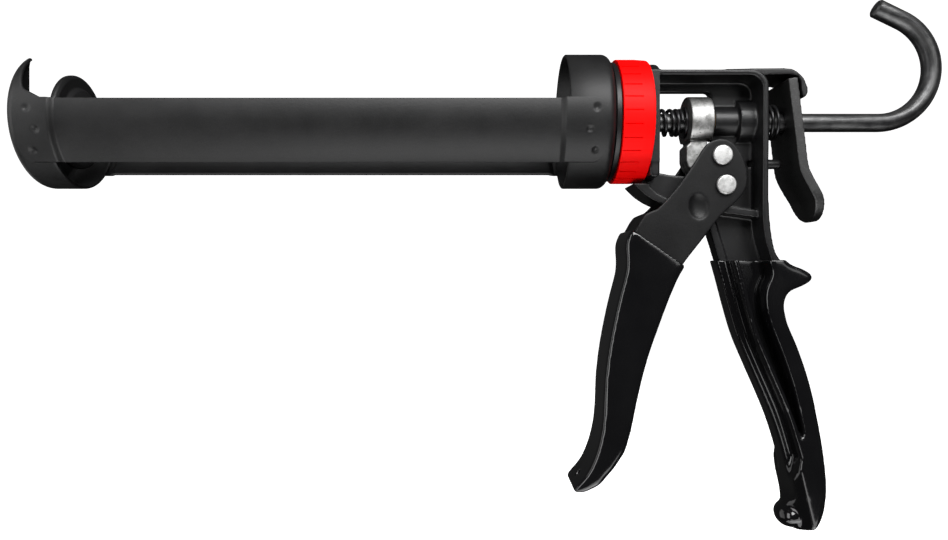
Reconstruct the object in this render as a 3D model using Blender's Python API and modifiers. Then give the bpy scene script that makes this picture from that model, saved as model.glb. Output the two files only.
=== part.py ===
"""Caulking gun: a turning cradle of two cups and two straps on a die-cast pistol frame.

The origin is on the barrel axis at the front face of the frame's head. +X points to the rear,
+Z up and +Y to the side away from the trigger pins' heads. Lengths are in metres.
"""

import math

import bmesh
import bpy
from mathutils import Matrix, Vector

MM = 0.001
GAP = 0.3 * MM  # between pieces that touch
COAT = 1.1 * MM  # thickness of the vinyl dip
ROUND_STEPS = 36
SMALL_STEPS = 32
OUTLINE_STEPS = 4  # points between two chosen points of an outline
TRIGGER_STEPS = 2  # the same on the trigger

# Push rod
ROD_RADIUS = 3.95 * MM
ROD_CLEARANCE = 0.3 * MM
ROD_SHOULDER = 20.3 * MM  # front end of the full rod behind the front plate's face, at rest
STUD_RADIUS = 2.9 * MM
HOOK_START = 102.2 * MM
HOOK_RADIUS = 23.5 * MM
HOOK_TURN = math.radians(154)
HOOK_TIP = 12.5 * MM

# Cradle
CUP_RADIUS = 28.5 * MM
SHEET = 1.4 * MM
CUP_CORNER = 3.6 * MM
CRADLE_LENGTH = 243.3 * MM  # outer face of the front plate to the back of the rear cup
FRONT_CUP_DEPTH = 16.4 * MM
REAR_CUP_DEPTH = 18.7 * MM
SLOT_HALF_WIDTH = 13.0 * MM
STRAP_THICKNESS = 1.3 * MM
STRAP_TOP = 4.3 * MM
STRAP_BOTTOM = -20.2 * MM
STRAP_CORNER = 4.5 * MM
STRAP_INSET = 4.5 * MM  # front end of a strap behind the front plate's face
STRAP_LAP = 4.4 * MM  # rear end of a strap in front of the rear cup's back
JOGGLE_START = 1.4 * MM
JOGGLE_LENGTH = 2.4 * MM
CLINCH_RADIUS = 1.4 * MM
CLINCH_DEPTH = 0.6 * MM
CLINCH_ANGLES = (0.2, -16.0, -32.3)  # degrees above horizontal
CLINCH_INSETS = (5.7 * MM, 4.1 * MM)  # from the front end and from the rear end
CLINCH_STAGGER = 2.6 * MM

# Turning joint at the head
HEAD_RADIUS = 24.5 * MM
HEAD_THICKNESS = 4.0 * MM
HEAD_FOOT = -25.2 * MM  # lower end of the squared foot under the head disc
COLLAR_RADIUS = 26.4 * MM
COLLAR_LENGTH = 12.9 * MM
COLLAR_WALL = 3.0 * MM
COLLAR_WEB = 3.5 * MM
COLLAR_GROOVES = 30
COLLAR_BAND = 4.9 * MM  # plain band behind the grooves
COLLAR_CROWN = 0.35 * MM
GROOVE_DEPTH = 0.6 * MM
GROOVE_HALF_WIDTH = 0.45 * MM
THRUST_RADIUS = 25.3 * MM
THRUST_THICKNESS = 2.2 * MM
WAVE_WASHER = 1.6 * MM
BUSH_WALL = 1.2 * MM
SPINDLE_WALL = 2.0 * MM
SPINDLE_HEAD_RADIUS = 12.0 * MM
SPINDLE_HEAD = 3.0 * MM
WASHER_THICKNESS = 1.2 * MM

# Plunger
PLUNGER_RADIUS = 20.0 * MM
PLUNGER_SHEET = 1.6 * MM
PLUNGER_RIM = 3.2 * MM
HUB_RADIUS = 8.0 * MM
HUB_LENGTH = 3.6 * MM
NUT_RADIUS = 5.4 * MM
NUT_LENGTH = 3.6 * MM

# Frame
FRAME_HALF_TOP = 15.0 * MM
FRAME_HALF_BOTTOM = 12.4 * MM
WEB_HALF = 2.2 * MM
RIB_HALF = 4.0 * MM
GUARD_HALF = 9.5 * MM
TANG_HALF = 11.0 * MM
FRAME_TOP = 19.3 * MM
FRAME_BOTTOM = -174.0 * MM
WALL_FRONT = 46.9 * MM
WALL_REAR = 49.4 * MM
BOSS_SMALL_RADIUS = 6.6 * MM
BOSS_SMALL_FRONT = 30.0 * MM
BOSS_RADIUS = 9.2 * MM
BOSS_FRONT = 40.0 * MM
DIP_HEIGHT = -58.7 * MM

# Trigger and drive
PIVOT = Vector((32.2, 0.0, -28.3)) * MM
DRIVE = Vector((30.7, 0.0, -15.9)) * MM
CHEEK_OUTER = 12.3 * MM
CHEEK_WALL = 1.8 * MM
CHEEK_INNER = CHEEK_OUTER - CHEEK_WALL
SPINE_RADIUS = 3.6 * MM  # outer bend of the pressed channel
SPINE_TOP = -47.0 * MM
SPINE_END = -142.0 * MM
PLAY = 0.4 * MM  # between the cheeks and what they straddle
PIVOT_RADIUS = 2.9 * MM
DRIVE_RADIUS = 2.6 * MM
RIVET_RADIUS = 4.2 * MM
RIVET_HEAD = 1.5 * MM
PIVOT_BUSH_WALL = 1.0 * MM
PIVOT_BOSS_WALL = 1.4 * MM
SLEEVE_RADIUS = 3.8 * MM
SLEEVE_HALF = 6.2 * MM
BLOCK_FRONT = 18.6 * MM
BLOCK_REAR = 28.4 * MM
BLOCK_RADIUS = 11.0 * MM
BLOCK_FLAT = -8.2 * MM
TAIL_HALF = 5.6 * MM
TAIL_FRONT = 17.7 * MM
TAIL_BOTTOM = -22.5 * MM
SPRING_SEAT = 0.9 * MM
RETURN_WIRE = 0.8 * MM
RETURN_TURNS = 4.25
RELEASE_WIRE = 0.7 * MM
RELEASE_RADIUS = 7.1 * MM
RELEASE_TURNS = 3.25

# Release lever
LEVER_TOP = Vector((60.1, 0.0, 16.4)) * MM
LEVER_TILT = math.radians(7.2)
LEVER_THICKNESS = 4.0 * MM
LEVER_HALF = 12.8 * MM
LEVER_LENGTH = 60.8 * MM
LEVER_HOLE_CLEARANCE = 0.75 * MM
STOP_PIN_RADIUS = 2.1 * MM
STOP_PIN_HEIGHT = -18.0 * MM
STOP_PIN_END = 60.2 * MM

FRONT_BUSH_OUTER = ROD_RADIUS + ROD_CLEARANCE + BUSH_WALL
SPINDLE_BORE = FRONT_BUSH_OUTER + GAP
SPINDLE_RADIUS = SPINDLE_BORE + SPINDLE_WALL
TURNING_BORE = SPINDLE_RADIUS + GAP
COLLAR_REAR = -GAP
COLLAR_FRONT = COLLAR_REAR - COLLAR_LENGTH
THRUST_REAR = COLLAR_FRONT - GAP
THRUST_FRONT = THRUST_REAR - THRUST_THICKNESS
CUP_BACK = THRUST_FRONT - GAP
CUP_FLOOR = CUP_BACK - SHEET
REAR_CUP_RIM = CUP_BACK - REAR_CUP_DEPTH
WASHER_REAR = CUP_FLOOR - GAP
WASHER_FRONT = WASHER_REAR - WASHER_THICKNESS
SPINDLE_SEAT = WASHER_FRONT - GAP
PLATE_FACE = CUP_BACK - CRADLE_LENGTH
ROD_FRONT = PLATE_FACE + ROD_SHOULDER
FRONT_CUP_RIM = PLATE_FACE + FRONT_CUP_DEPTH


def collection(name):
    """A collection of this name in the scene."""
    found = bpy.data.collections.new(name)
    bpy.context.scene.collection.children.link(found)
    return found


def finish(name, colour, roughness, metallic):
    """A Principled material."""
    made = bpy.data.materials.new(name)
    made.use_nodes = True
    shader = made.node_tree.nodes["Principled BSDF"]
    shader.inputs["Base Color"].default_value = (*colour, 1.0)
    shader.inputs["Roughness"].default_value = roughness
    shader.inputs["Metallic"].default_value = metallic
    made.diffuse_color = (*colour, 1.0)
    return made


def place(obj, group):
    """Moves the object into one collection."""
    for old in list(obj.users_collection):
        old.objects.unlink(obj)
    group.objects.link(obj)
    return obj


def as_mesh(obj):
    """The object's evaluated shape as a plain mesh object with closed seams and outward faces."""
    bpy.context.view_layer.update()
    graph = bpy.context.evaluated_depsgraph_get()
    mesh = bpy.data.meshes.new_from_object(obj.evaluated_get(graph))
    mesh.transform(obj.matrix_world)
    shape = bmesh.new()
    shape.from_mesh(mesh)
    bmesh.ops.remove_doubles(shape, verts=shape.verts, dist=1e-6)
    bmesh.ops.recalc_face_normals(shape, faces=shape.faces)
    shape.to_mesh(mesh)
    shape.free()
    name = obj.name
    bpy.data.objects.remove(obj)
    made = bpy.data.objects.new(name, mesh)
    bpy.context.scene.collection.objects.link(made)
    return made


def prism(name, outline, half_width, middle=0.0):
    """A flat XZ outline given thickness along Y."""
    curve = bpy.data.curves.new(name, "CURVE")
    curve.dimensions = "2D"
    curve.fill_mode = "BOTH"
    curve.extrude = half_width
    spline = curve.splines.new("POLY")
    spline.points.add(len(outline) - 1)
    for point, (x, z) in zip(spline.points, outline):
        point.co = (x, z, 0.0, 1.0)
    spline.use_cyclic_u = True
    obj = bpy.data.objects.new(name, curve)
    obj.rotation_euler = (math.pi / 2, 0.0, 0.0)
    obj.location = (0.0, middle, 0.0)
    bpy.context.scene.collection.objects.link(obj)
    return as_mesh(obj)


def turned(name, profile, steps=ROUND_STEPS):
    """A closed profile of (x, radius) points turned round the X axis."""
    mesh = bpy.data.meshes.new(name)
    count = len(profile)
    on_axis = profile[0][1] == 0.0 and profile[-1][1] == 0.0
    edges = [(i, (i + 1) % count) for i in range(count - on_axis)]
    mesh.from_pydata([(x, 0.0, radius) for x, radius in profile], edges, [])
    obj = bpy.data.objects.new(name, mesh)
    bpy.context.scene.collection.objects.link(obj)
    screw = obj.modifiers.new("turn", "SCREW")
    screw.axis = "X"
    screw.steps = screw.render_steps = steps
    screw.use_merge_vertices = True
    screw.merge_threshold = 1e-6
    return as_mesh(obj)


def ring(name, start, end, inner, outer, steps=ROUND_STEPS):
    """A plain ring round the X axis."""
    return turned(name, [(start, inner), (start, outer), (end, outer), (end, inner)], steps)


def cross_pin(name, centre, radius, half_length, steps=SMALL_STEPS):
    """A cylinder along Y."""
    shape = bmesh.new()
    turn = Matrix.Translation(centre) @ Matrix.Rotation(math.pi / 2, 4, "X")
    bmesh.ops.create_cone(
        shape, cap_ends=True, segments=steps, radius1=radius, radius2=radius,
        depth=2 * half_length, matrix=turn,
    )
    mesh = bpy.data.meshes.new(name)
    shape.to_mesh(mesh)
    shape.free()
    obj = bpy.data.objects.new(name, mesh)
    bpy.context.scene.collection.objects.link(obj)
    return obj


def box(name, low, high):
    """A box between two corners."""
    shape = bmesh.new()
    low, high = Vector(low), Vector(high)
    size = high - low
    matrix = Matrix.Translation((low + high) / 2) @ Matrix.Diagonal((*size, 1.0))
    bmesh.ops.create_cube(shape, size=1.0, matrix=matrix)
    mesh = bpy.data.meshes.new(name)
    shape.to_mesh(mesh)
    shape.free()
    obj = bpy.data.objects.new(name, mesh)
    bpy.context.scene.collection.objects.link(obj)
    return obj


def combine(target, tool, operation="DIFFERENCE"):
    """An exact Boolean of the target with the tool, which becomes a hidden helper."""
    boolean = target.modifiers.new(f"{operation.lower()} {tool.name}", "BOOLEAN")
    boolean.operation = operation
    boolean.solver = "EXACT"
    boolean.object = tool
    place(tool, CUTTERS)
    tool.hide_render = True
    tool.display_type = "WIRE"
    return target


def part(obj, material, pivot=None):
    """Files a finished piece under its material, with its origin on its joint's axis."""
    place(obj, PARTS)
    obj.data.materials.clear()
    obj.data.materials.append(material)
    obj.data.shade_smooth()
    obj.data.set_sharp_from_angle(angle=math.radians(32))
    if pivot is not None:
        obj.data.transform(Matrix.Translation(-pivot))
        obj.location = pivot
    return obj


def mm(*points):
    """Points given in millimetres."""
    return [(x * MM, z * MM) for x, z in points]


def smooth(points, steps=OUTLINE_STEPS, closed=False):
    """A Catmull-Rom curve through the points."""
    count = len(points)
    spans = count if closed else count - 1

    def at(i):
        return Vector(points[i % count] if closed else points[max(0, min(count - 1, i))])

    curve = []
    for i in range(spans):
        a, b, c, d = at(i - 1), at(i), at(i + 1), at(i + 2)
        for step in range(steps):
            t = step / steps
            curve.append(
                tuple(0.5 * (2 * b + (c - a) * t + (2 * a - 5 * b + 4 * c - d) * t * t
                             + (3 * b - a - 3 * c + d) * t * t * t))
            )
    if not closed:
        curve.append(tuple(at(count - 1)))
    return curve


def arc(centre, radius, start, end, steps=6):
    """Points on an arc between two angles in degrees."""
    angles = [math.radians(start + (end - start) * i / steps) for i in range(steps + 1)]
    return [(centre[0] + radius * math.cos(a), centre[1] + radius * math.sin(a)) for a in angles]


def rounded_box(low, high, radius, steps=4):
    """A rectangle with round corners, as an outline."""
    (x0, z0), (x1, z1) = low, high
    return (
        arc((x1 - radius, z1 - radius), radius, 0, 90, steps)
        + arc((x0 + radius, z1 - radius), radius, 90, 180, steps)
        + arc((x0 + radius, z0 + radius), radius, 180, 270, steps)
        + arc((x1 - radius, z0 + radius), radius, 270, 360, steps)
    )


def offset(outline, distance):
    """The outline moved outwards by the distance, or inwards when it is negative."""
    if distance == 0.0:
        return list(outline)
    count = len(outline)
    points = [Vector(p) for p in outline]
    area = sum(points[i - 1].x * points[i].y - points[i].x * points[i - 1].y for i in range(count))
    side = distance if area > 0 else -distance
    moved = []
    for i, point in enumerate(points):
        before = (point - points[i - 1]).normalized()
        after = (points[(i + 1) % count] - point).normalized()
        normals = Vector((before.y, -before.x)), Vector((after.y, -after.x))
        mean = (normals[0] + normals[1]).normalized()
        moved.append(point + mean * side / max(0.5, mean.dot(normals[0])))
    clear = 0.93 * abs(distance)  # a point nearer than this to the outline has folded over in a tight hollow
    return [tuple(p) for p in moved if min((p - q).length for q in points) > clear]


# ---- the frame's outlines ----

def frame_outline():
    """Side view of the bare casting, without its guard's flange, boss and tang."""
    corner = arc(mm((42.4, 12.3))[0], 7.0 * MM, 90, 0, 5)
    back = smooth(mm(
        (49.4, -34), (50.2, -46), (52.4, -56.5), (57.2, -62.3), (62.8, -64.7), (66.0, -67.0),
        (62.6, -69.4), (56.8, -72.2), (54.4, -78), (55.8, -86), (60.6, -97.5), (65.2, -111.4),
        (68.6, -126), (71.2, -141), (72.4, -154), (71.7, -164), (69.0, -170.6), (64.8, -173.9),
        (61.6, -172.2), (60.4, -168.6), (61.8, -165), (64.3, -161), (62.7, -151), (60.0, -139.5),
        (56.0, -127), (51.5, -116), (46.0, -103.5), (41.0, -91.5), (37.3, -79), (34.0, -66.5),
        (31.3, -57), (28.7, -48.5), (26.5, -39.9),
    ))
    nose = -COLLAR_RADIUS - 0.8 * MM
    guard = smooth(mm((14, -37.9), (8.6, -36.6), (3.6, -34.7), (-0.6, -32.0), (-4.2, -28.9)))
    front = [(-6.0 * MM, nose), (1.0 * MM, nose), (1.0 * MM, FRAME_TOP)]
    return corner + back + guard + front


def pocket_outline():
    """What is cut away on each side of the web, inside the beam, the rear wall and the handle."""
    corner = arc(mm((41.4, 11.5))[0], 5.5 * MM, 90, 0, 5)
    inner = smooth(mm(
        (46.9, -40), (47.8, -50), (50.4, -59), (52.0, -66), (49.6, -72.5), (49.6, -79), (51.6, -87),
        (56.5, -99.5), (61.0, -113), (64.4, -127), (65.8, -134.5),
    ))
    rib = smooth(mm(
        (62.2, -135.5), (59.2, -126.5), (54.8, -115.5), (49.3, -103), (44.3, -91),
        (40.6, -79), (37.4, -66.5), (34.6, -56), (32, -47.6), (30.2, -41),
    ))
    return corner + inner + rib + mm((10, -60), (-30, -60), (-30, 17.0))


def rib_outline():
    """What is cut away beside the front rib, ahead of the handle's pocket."""
    rib = smooth(mm(
        (64.5, -143), (59.6, -126.5), (55.2, -115.5), (49.7, -103), (44.7, -91),
        (41.0, -79), (37.8, -66.5), (35, -56), (32.4, -47.6), (30.6, -41),
    ))
    return rib + mm((10, -38), (-40, -38), (-40, -157), (62, -157))


def tapered_prism(name, outline, grow):
    """The frame's outline at full width, narrower towards the handle's end."""
    obj = prism(name, outline, 1.0)
    for vertex in obj.data.vertices:
        down = (FRAME_TOP - vertex.co.z) / (FRAME_TOP - FRAME_BOTTOM)
        half = FRAME_HALF_TOP + (FRAME_HALF_BOTTOM - FRAME_HALF_TOP) * down + grow
        vertex.co.y = math.copysign(half, vertex.co.y)
    return obj


def frame_body(name, grow):
    """The casting's I-section, grown on all sides by a distance."""
    body = tapered_prism(name, offset(frame_outline(), grow), grow)
    reach = 20.0 * MM
    for label, outline, inner in (
        ("pocket", pocket_outline(), WEB_HALF),
        ("rib", rib_outline(), RIB_HALF),
    ):
        shrunk = offset(outline, -grow)
        for side in (-1, 1):
            middle = side * (inner + grow + reach) / 2
            cutter = prism(f"{name} {label} {side}", shrunk, (reach - inner - grow) / 2, middle)
            combine(body, cutter)
    return body


def guard_outline():
    """The wide flange along the guard, from under the collar to the rear wall."""
    nose = -COLLAR_RADIUS - 0.78 * MM
    outer = smooth(mm(
        (-4.4, -29.0), (-0.8, -32.2), (3.6, -34.9), (8.6, -36.8), (14, -38.1), (31, -39.7), (48, -42.0),
    ))
    inner = smooth(mm((48.2, -38.8), (31, -36.6), (14, -35.0), (9.0, -33.7), (4.8, -31.8), (2.2, -29.6)))
    return [(-6.2 * MM, nose)] + outer + inner + [(0.6 * MM, nose)]


def tang_outline():
    """The tongue on top of the beam that curls down behind the release lever."""
    curl = smooth(mm(
        (57, 21.0), (61.0, 20.4), (64.8, 17.6), (67.0, 13.0), (66.9, 9.9), (65.4, 8.6),
        (64.5, 10.6), (64.2, 14.4), (62.9, 17.9),
    ))
    return mm((30, 18.0), (30, 20.4), (44, 20.9)) + curl + mm((57, 18.2), (50.6, 18.0))


def window_outline():
    """The opening between the head and the guide boss, where the drive block travels."""
    rear = BLOCK_REAR + 2 * GAP
    floor = TAIL_BOTTOM - 3 * GAP
    corner, top = 2.0 * MM, 13.0 * MM
    rounded = arc((rear - corner, top - corner), corner, 0, 90, 4)
    rounded += arc((HEAD_THICKNESS + corner, top - corner), corner, 90, 180, 4)
    slope = [(HEAD_THICKNESS, -21.4 * MM), (12.0 * MM, TAIL_BOTTOM - 0.4 * MM), (20.0 * MM, floor)]
    return rounded + slope + [(rear, floor)]


def handle_frame():
    frame = frame_body("handle_frame", 0.0)
    head = ring("head disc", 0.0, HEAD_THICKNESS, TURNING_BORE - 2 * MM, HEAD_RADIUS)
    flats = box("head flats", (-0.01, -FRAME_HALF_TOP, -0.04), (0.02, FRAME_HALF_TOP, 0.04))
    combine(frame, combine(head, flats, "INTERSECT"), "UNION")
    foot = rounded_box((0.0, HEAD_FOOT), (HEAD_THICKNESS, HEAD_FOOT + 12 * MM), 1.4 * MM)
    combine(frame, prism("head foot", foot, FRAME_HALF_TOP - 0.1 * MM), "UNION")
    combine(frame, prism("guard flange", guard_outline(), GUARD_HALF), "UNION")
    combine(frame, prism("tang", tang_outline(), TANG_HALF), "UNION")
    steps = [(BOSS_SMALL_FRONT, 0.0), (BOSS_SMALL_FRONT, BOSS_SMALL_RADIUS),
             (BOSS_FRONT, BOSS_SMALL_RADIUS), (BOSS_FRONT, BOSS_RADIUS),
             (WALL_FRONT + 1.0 * MM, BOSS_RADIUS), (WALL_FRONT + 1.0 * MM, 0.0)]
    combine(frame, turned("boss", steps, SMALL_STEPS), "UNION")
    pivot_boss = PIVOT_RADIUS + GAP + PIVOT_BUSH_WALL + GAP + PIVOT_BOSS_WALL
    combine(frame, cross_pin("pivot boss", PIVOT, pivot_boss, CHEEK_INNER - PLAY), "UNION")
    combine(frame, prism("window", window_outline(), 6.0 * MM))
    sweep = rounded_box(mm((20, -22.4))[0], mm((37, -8.0))[0], 2.0 * MM)
    combine(frame, prism("drive slot", sweep, 6.5 * MM))
    combine(frame, ring_hole("head bore", -2.0 * MM, HEAD_THICKNESS + 2.0 * MM, SPINDLE_RADIUS + GAP))
    combine(frame, ring_hole("guide bore", 25.0 * MM, 55.0 * MM, rear_bush_outer() + GAP))
    pin_hole = ring_hole("stop hole", WALL_FRONT - 2.0 * MM, WALL_REAR + 2.0 * MM, STOP_PIN_RADIUS + GAP)
    pin_hole.data.transform(Matrix.Translation((0.0, 0.0, STOP_PIN_HEIGHT)))
    combine(frame, pin_hole)
    combine(frame, cross_pin("pivot bore", PIVOT, PIVOT_RADIUS + GAP + PIVOT_BUSH_WALL + GAP, 20.0 * MM))
    return part(frame, BLACK_CAST)


def ring_hole(name, start, end, radius):
    """A round cutter along X."""
    return turned(name, [(start, 0.0), (start, radius), (end, radius), (end, 0.0)], SMALL_STEPS)


def rear_bush_outer():
    return ROD_RADIUS + ROD_CLEARANCE + BUSH_WALL


def handle_grip():
    grip = frame_body("handle_grip", COAT + GAP)
    combine(grip, box("above the dip", (-0.05, -0.05, DIP_HEIGHT), (0.1, 0.05, 0.05)))
    core = as_mesh(frame_body("grip core", GAP))
    combine(grip, core)
    return part(grip, GLOSS_VINYL)


# ---- the turning joint ----

def turning_joint():
    """The hollow spindle that carries the cradle, its washers, and the grip collar that turns it."""
    front, rear, chamfer = SPINDLE_SEAT - SPINDLE_HEAD, HEAD_THICKNESS - GAP, 1.0 * MM
    spindle = turned("head_spindle", [
        (front, SPINDLE_BORE), (front, SPINDLE_HEAD_RADIUS - chamfer), (front + chamfer, SPINDLE_HEAD_RADIUS),
        (SPINDLE_SEAT, SPINDLE_HEAD_RADIUS), (SPINDLE_SEAT, SPINDLE_RADIUS), (rear, SPINDLE_RADIUS),
        (rear, SPINDLE_BORE),
    ])
    part(spindle, DARK_STEEL)
    washer = ring("spindle_washer", WASHER_FRONT, WASHER_REAR, TURNING_BORE, SPINDLE_HEAD_RADIUS + 2.5 * MM)
    part(washer, ZINC)
    bush = ring("front_rod_bush", front + 0.5 * MM, rear, ROD_RADIUS + ROD_CLEARANCE, FRONT_BUSH_OUTER)
    part(bush, BRONZE)
    part(ring("thrust_washer", THRUST_FRONT, THRUST_REAR, TURNING_BORE, THRUST_RADIUS), BLACK_CAST)
    inner_wall = COLLAR_RADIUS - COLLAR_WALL
    hub_radius = TURNING_BORE + 2.6 * MM
    hub_end = COLLAR_REAR - WAVE_WASHER - 2 * GAP
    collar = turned("grip_collar", [
        (COLLAR_FRONT, TURNING_BORE), (COLLAR_FRONT, COLLAR_RADIUS - 0.6 * MM),
        (COLLAR_FRONT + 0.6 * MM, COLLAR_RADIUS), (COLLAR_REAR - COLLAR_BAND, COLLAR_RADIUS),
        (COLLAR_REAR - 0.7 * MM, COLLAR_RADIUS - COLLAR_CROWN),
        (COLLAR_REAR, COLLAR_RADIUS - COLLAR_CROWN - 0.7 * MM), (COLLAR_REAR, inner_wall),
        (COLLAR_FRONT + COLLAR_WEB, inner_wall), (COLLAR_FRONT + COLLAR_WEB, hub_radius),
        (hub_end, hub_radius), (hub_end, TURNING_BORE),
    ], 2 * COLLAR_GROOVES)
    low = (COLLAR_FRONT - 1 * MM, -GROOVE_HALF_WIDTH, COLLAR_RADIUS - GROOVE_DEPTH)
    high = (COLLAR_REAR - COLLAR_BAND, GROOVE_HALF_WIDTH, COLLAR_RADIUS + 2 * MM)
    cutters = []
    for i in range(COLLAR_GROOVES):
        groove = box(f"groove {i}", low, high)
        groove.data.transform(Matrix.Rotation(2 * math.pi * (i + 0.5) / COLLAR_GROOVES, 4, "X"))
        cutters.append(groove)
    combine(collar, joined("grooves", cutters))
    part(collar, RED_PLASTIC)
    part(ring("wave_washer", hub_end + GAP, COLLAR_REAR, TURNING_BORE, hub_radius + 2.0 * MM), ZINC)


def joined(name, pieces):
    """One helper object from several that don't touch."""
    shape = bmesh.new()
    for piece in pieces:
        shape.from_mesh(piece.data)
        bpy.data.objects.remove(piece)
    mesh = bpy.data.meshes.new(name)
    shape.to_mesh(mesh)
    shape.free()
    obj = bpy.data.objects.new(name, mesh)
    bpy.context.scene.collection.objects.link(obj)
    return obj


# ---- the cradle ----

def cup_profile(closed_end, rim, bore):
    """Half section of a pressed cup with a rounded corner, from its bore to its rim and back."""
    inward = 1 if rim > closed_end else -1
    outer, inner = CUP_CORNER, CUP_CORNER - SHEET
    centre_x = closed_end + inward * CUP_CORNER
    centre_r = CUP_RADIUS - CUP_CORNER
    turns = [math.radians(90 * i / 4) for i in range(5)]
    outside = [(centre_x - inward * outer * math.cos(a), centre_r + outer * math.sin(a)) for a in turns]
    inside = [
        (centre_x - inward * inner * math.cos(a), centre_r + inner * math.sin(a)) for a in reversed(turns)
    ]
    return ([(closed_end, bore)] + outside + [(rim, CUP_RADIUS), (rim, CUP_RADIUS - SHEET)]
            + inside + [(closed_end + inward * SHEET, bore)])


def front_cup():
    cup = turned("front_cup", cup_profile(PLATE_FACE, FRONT_CUP_RIM, 5.0 * MM), 40)
    slot = arc((0.0, 0.0), SLOT_HALF_WIDTH, 180, 360, 16)
    slot += [(SLOT_HALF_WIDTH, 0.05), (-SLOT_HALF_WIDTH, 0.05)]
    cutter = prism("nozzle slot", slot, 0.02)
    cutter.data.transform(Matrix.Translation((PLATE_FACE, 0, 0)) @ Matrix.Rotation(math.pi / 2, 4, "Z"))
    combine(cup, cutter)
    lip = PLATE_FACE + CUP_CORNER
    rim = FRONT_CUP_RIM
    opening = [(rim + 2 * MM, STRAP_TOP + 0.1 * MM), (rim - 2.3 * MM, STRAP_TOP + 0.6 * MM),
               (lip + 3.7 * MM, 8.5 * MM), (lip + 1.7 * MM, 13.3 * MM), (lip + 0.8 * MM, 18.1 * MM),
               (lip - 0.1 * MM, 23.0 * MM), (lip - 0.1 * MM, 40.0 * MM), (rim + 2 * MM, 40.0 * MM)]
    combine(cup, prism("open top", opening, 0.04))
    tips = [(-40 * MM, 23.6 * MM), (40 * MM, 23.6 * MM), (40 * MM, 40 * MM), (-40 * MM, 40 * MM)]
    tip = prism("horn tips", tips, 0.02)
    tip.data.transform(Matrix.Translation((PLATE_FACE, 0, 0)) @ Matrix.Rotation(math.pi / 2, 4, "Z"))
    combine(cup, tip)
    return part(cup, BLACK_POWDER)


def rear_cup():
    cup = turned("rear_cup", cup_profile(CUP_BACK, REAR_CUP_RIM, TURNING_BORE), 40)
    return part(cup, BLACK_POWDER)


def strap(name, side):
    """One curved strip, lapped over both cups and clinched to them."""
    front = PLATE_FACE + STRAP_INSET
    rear = CUP_BACK - STRAP_LAP
    lap_inner = CUP_RADIUS + GAP
    low_inner = CUP_RADIUS - STRAP_THICKNESS
    rims = (FRONT_CUP_RIM + JOGGLE_START, REAR_CUP_RIM - JOGGLE_START)
    inner = [(front - 1 * MM, lap_inner), (rims[0], lap_inner), (rims[0] + JOGGLE_LENGTH, low_inner),
             (rims[1] - JOGGLE_LENGTH, low_inner), (rims[1], lap_inner), (rear + 1 * MM, lap_inner)]
    outer = [(x, radius + STRAP_THICKNESS) for x, radius in reversed(inner)]
    shell = turned(name, inner + outer, 72)
    outline = rounded_box((front, STRAP_BOTTOM), (rear, STRAP_TOP), STRAP_CORNER)
    keep = prism(f"{name} outline", outline, 0.012, side * 0.026)
    combine(shell, keep, "INTERSECT")
    dimples = []
    for end, step, inset in ((front, 1, CLINCH_INSETS[0]), (rear, -1, CLINCH_INSETS[1])):
        for i, angle in enumerate(CLINCH_ANGLES):
            x = end + step * (inset + (i == 1) * CLINCH_STAGGER)
            turn = math.radians(angle)
            reach = lap_inner + STRAP_THICKNESS + CLINCH_RADIUS - CLINCH_DEPTH
            dimple = bmesh.new()
            bmesh.ops.create_icosphere(dimple, subdivisions=1, radius=CLINCH_RADIUS)
            mesh = bpy.data.meshes.new("clinch")
            dimple.to_mesh(mesh)
            dimple.free()
            mesh.transform(Matrix.Translation((x, side * reach * math.cos(turn), reach * math.sin(turn))))
            obj = bpy.data.objects.new("clinch", mesh)
            dimples.append(obj)
    combine(shell, joined(f"{name} clinches", dimples))
    return part(shell, BLACK_POWDER)


# ---- rod and plunger ----

def push_rod():
    turns = [HOOK_TURN * i / 20 for i in range(21)]
    path = [(ROD_FRONT, 0.0), (HOOK_START - 1 * MM, 0.0)]
    path += [(HOOK_START + HOOK_RADIUS * math.sin(a), HOOK_RADIUS * (1 - math.cos(a))) for a in turns]
    end = Vector(path[-1]) + HOOK_TIP * Vector((math.cos(HOOK_TURN), math.sin(HOOK_TURN)))
    path.append(tuple(end))
    rod = tube("push_rod", [(x, 0.0, z) for x, z in path], ROD_RADIUS, 4)
    stud_end = ROD_FRONT - stud_length()
    stud = ring_hole("rod stud", stud_end, ROD_FRONT + 2 * MM, STUD_RADIUS)
    combine(rod, stud, "UNION")
    return part(rod, DARK_STEEL)


def stud_length():
    return 3 * GAP + HUB_LENGTH + PLUNGER_SHEET + NUT_LENGTH + 1.0 * MM


def tube(name, points, radius, resolution):
    """A round bar along a path of points."""
    curve = bpy.data.curves.new(name, "CURVE")
    curve.dimensions = "3D"
    curve.bevel_depth = radius
    curve.bevel_resolution = resolution
    curve.use_fill_caps = True
    spline = curve.splines.new("POLY")
    spline.points.add(len(points) - 1)
    for point, co in zip(spline.points, points):
        point.co = (*co, 1.0)
    obj = bpy.data.objects.new(name, curve)
    bpy.context.scene.collection.objects.link(obj)
    return as_mesh(obj)


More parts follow.
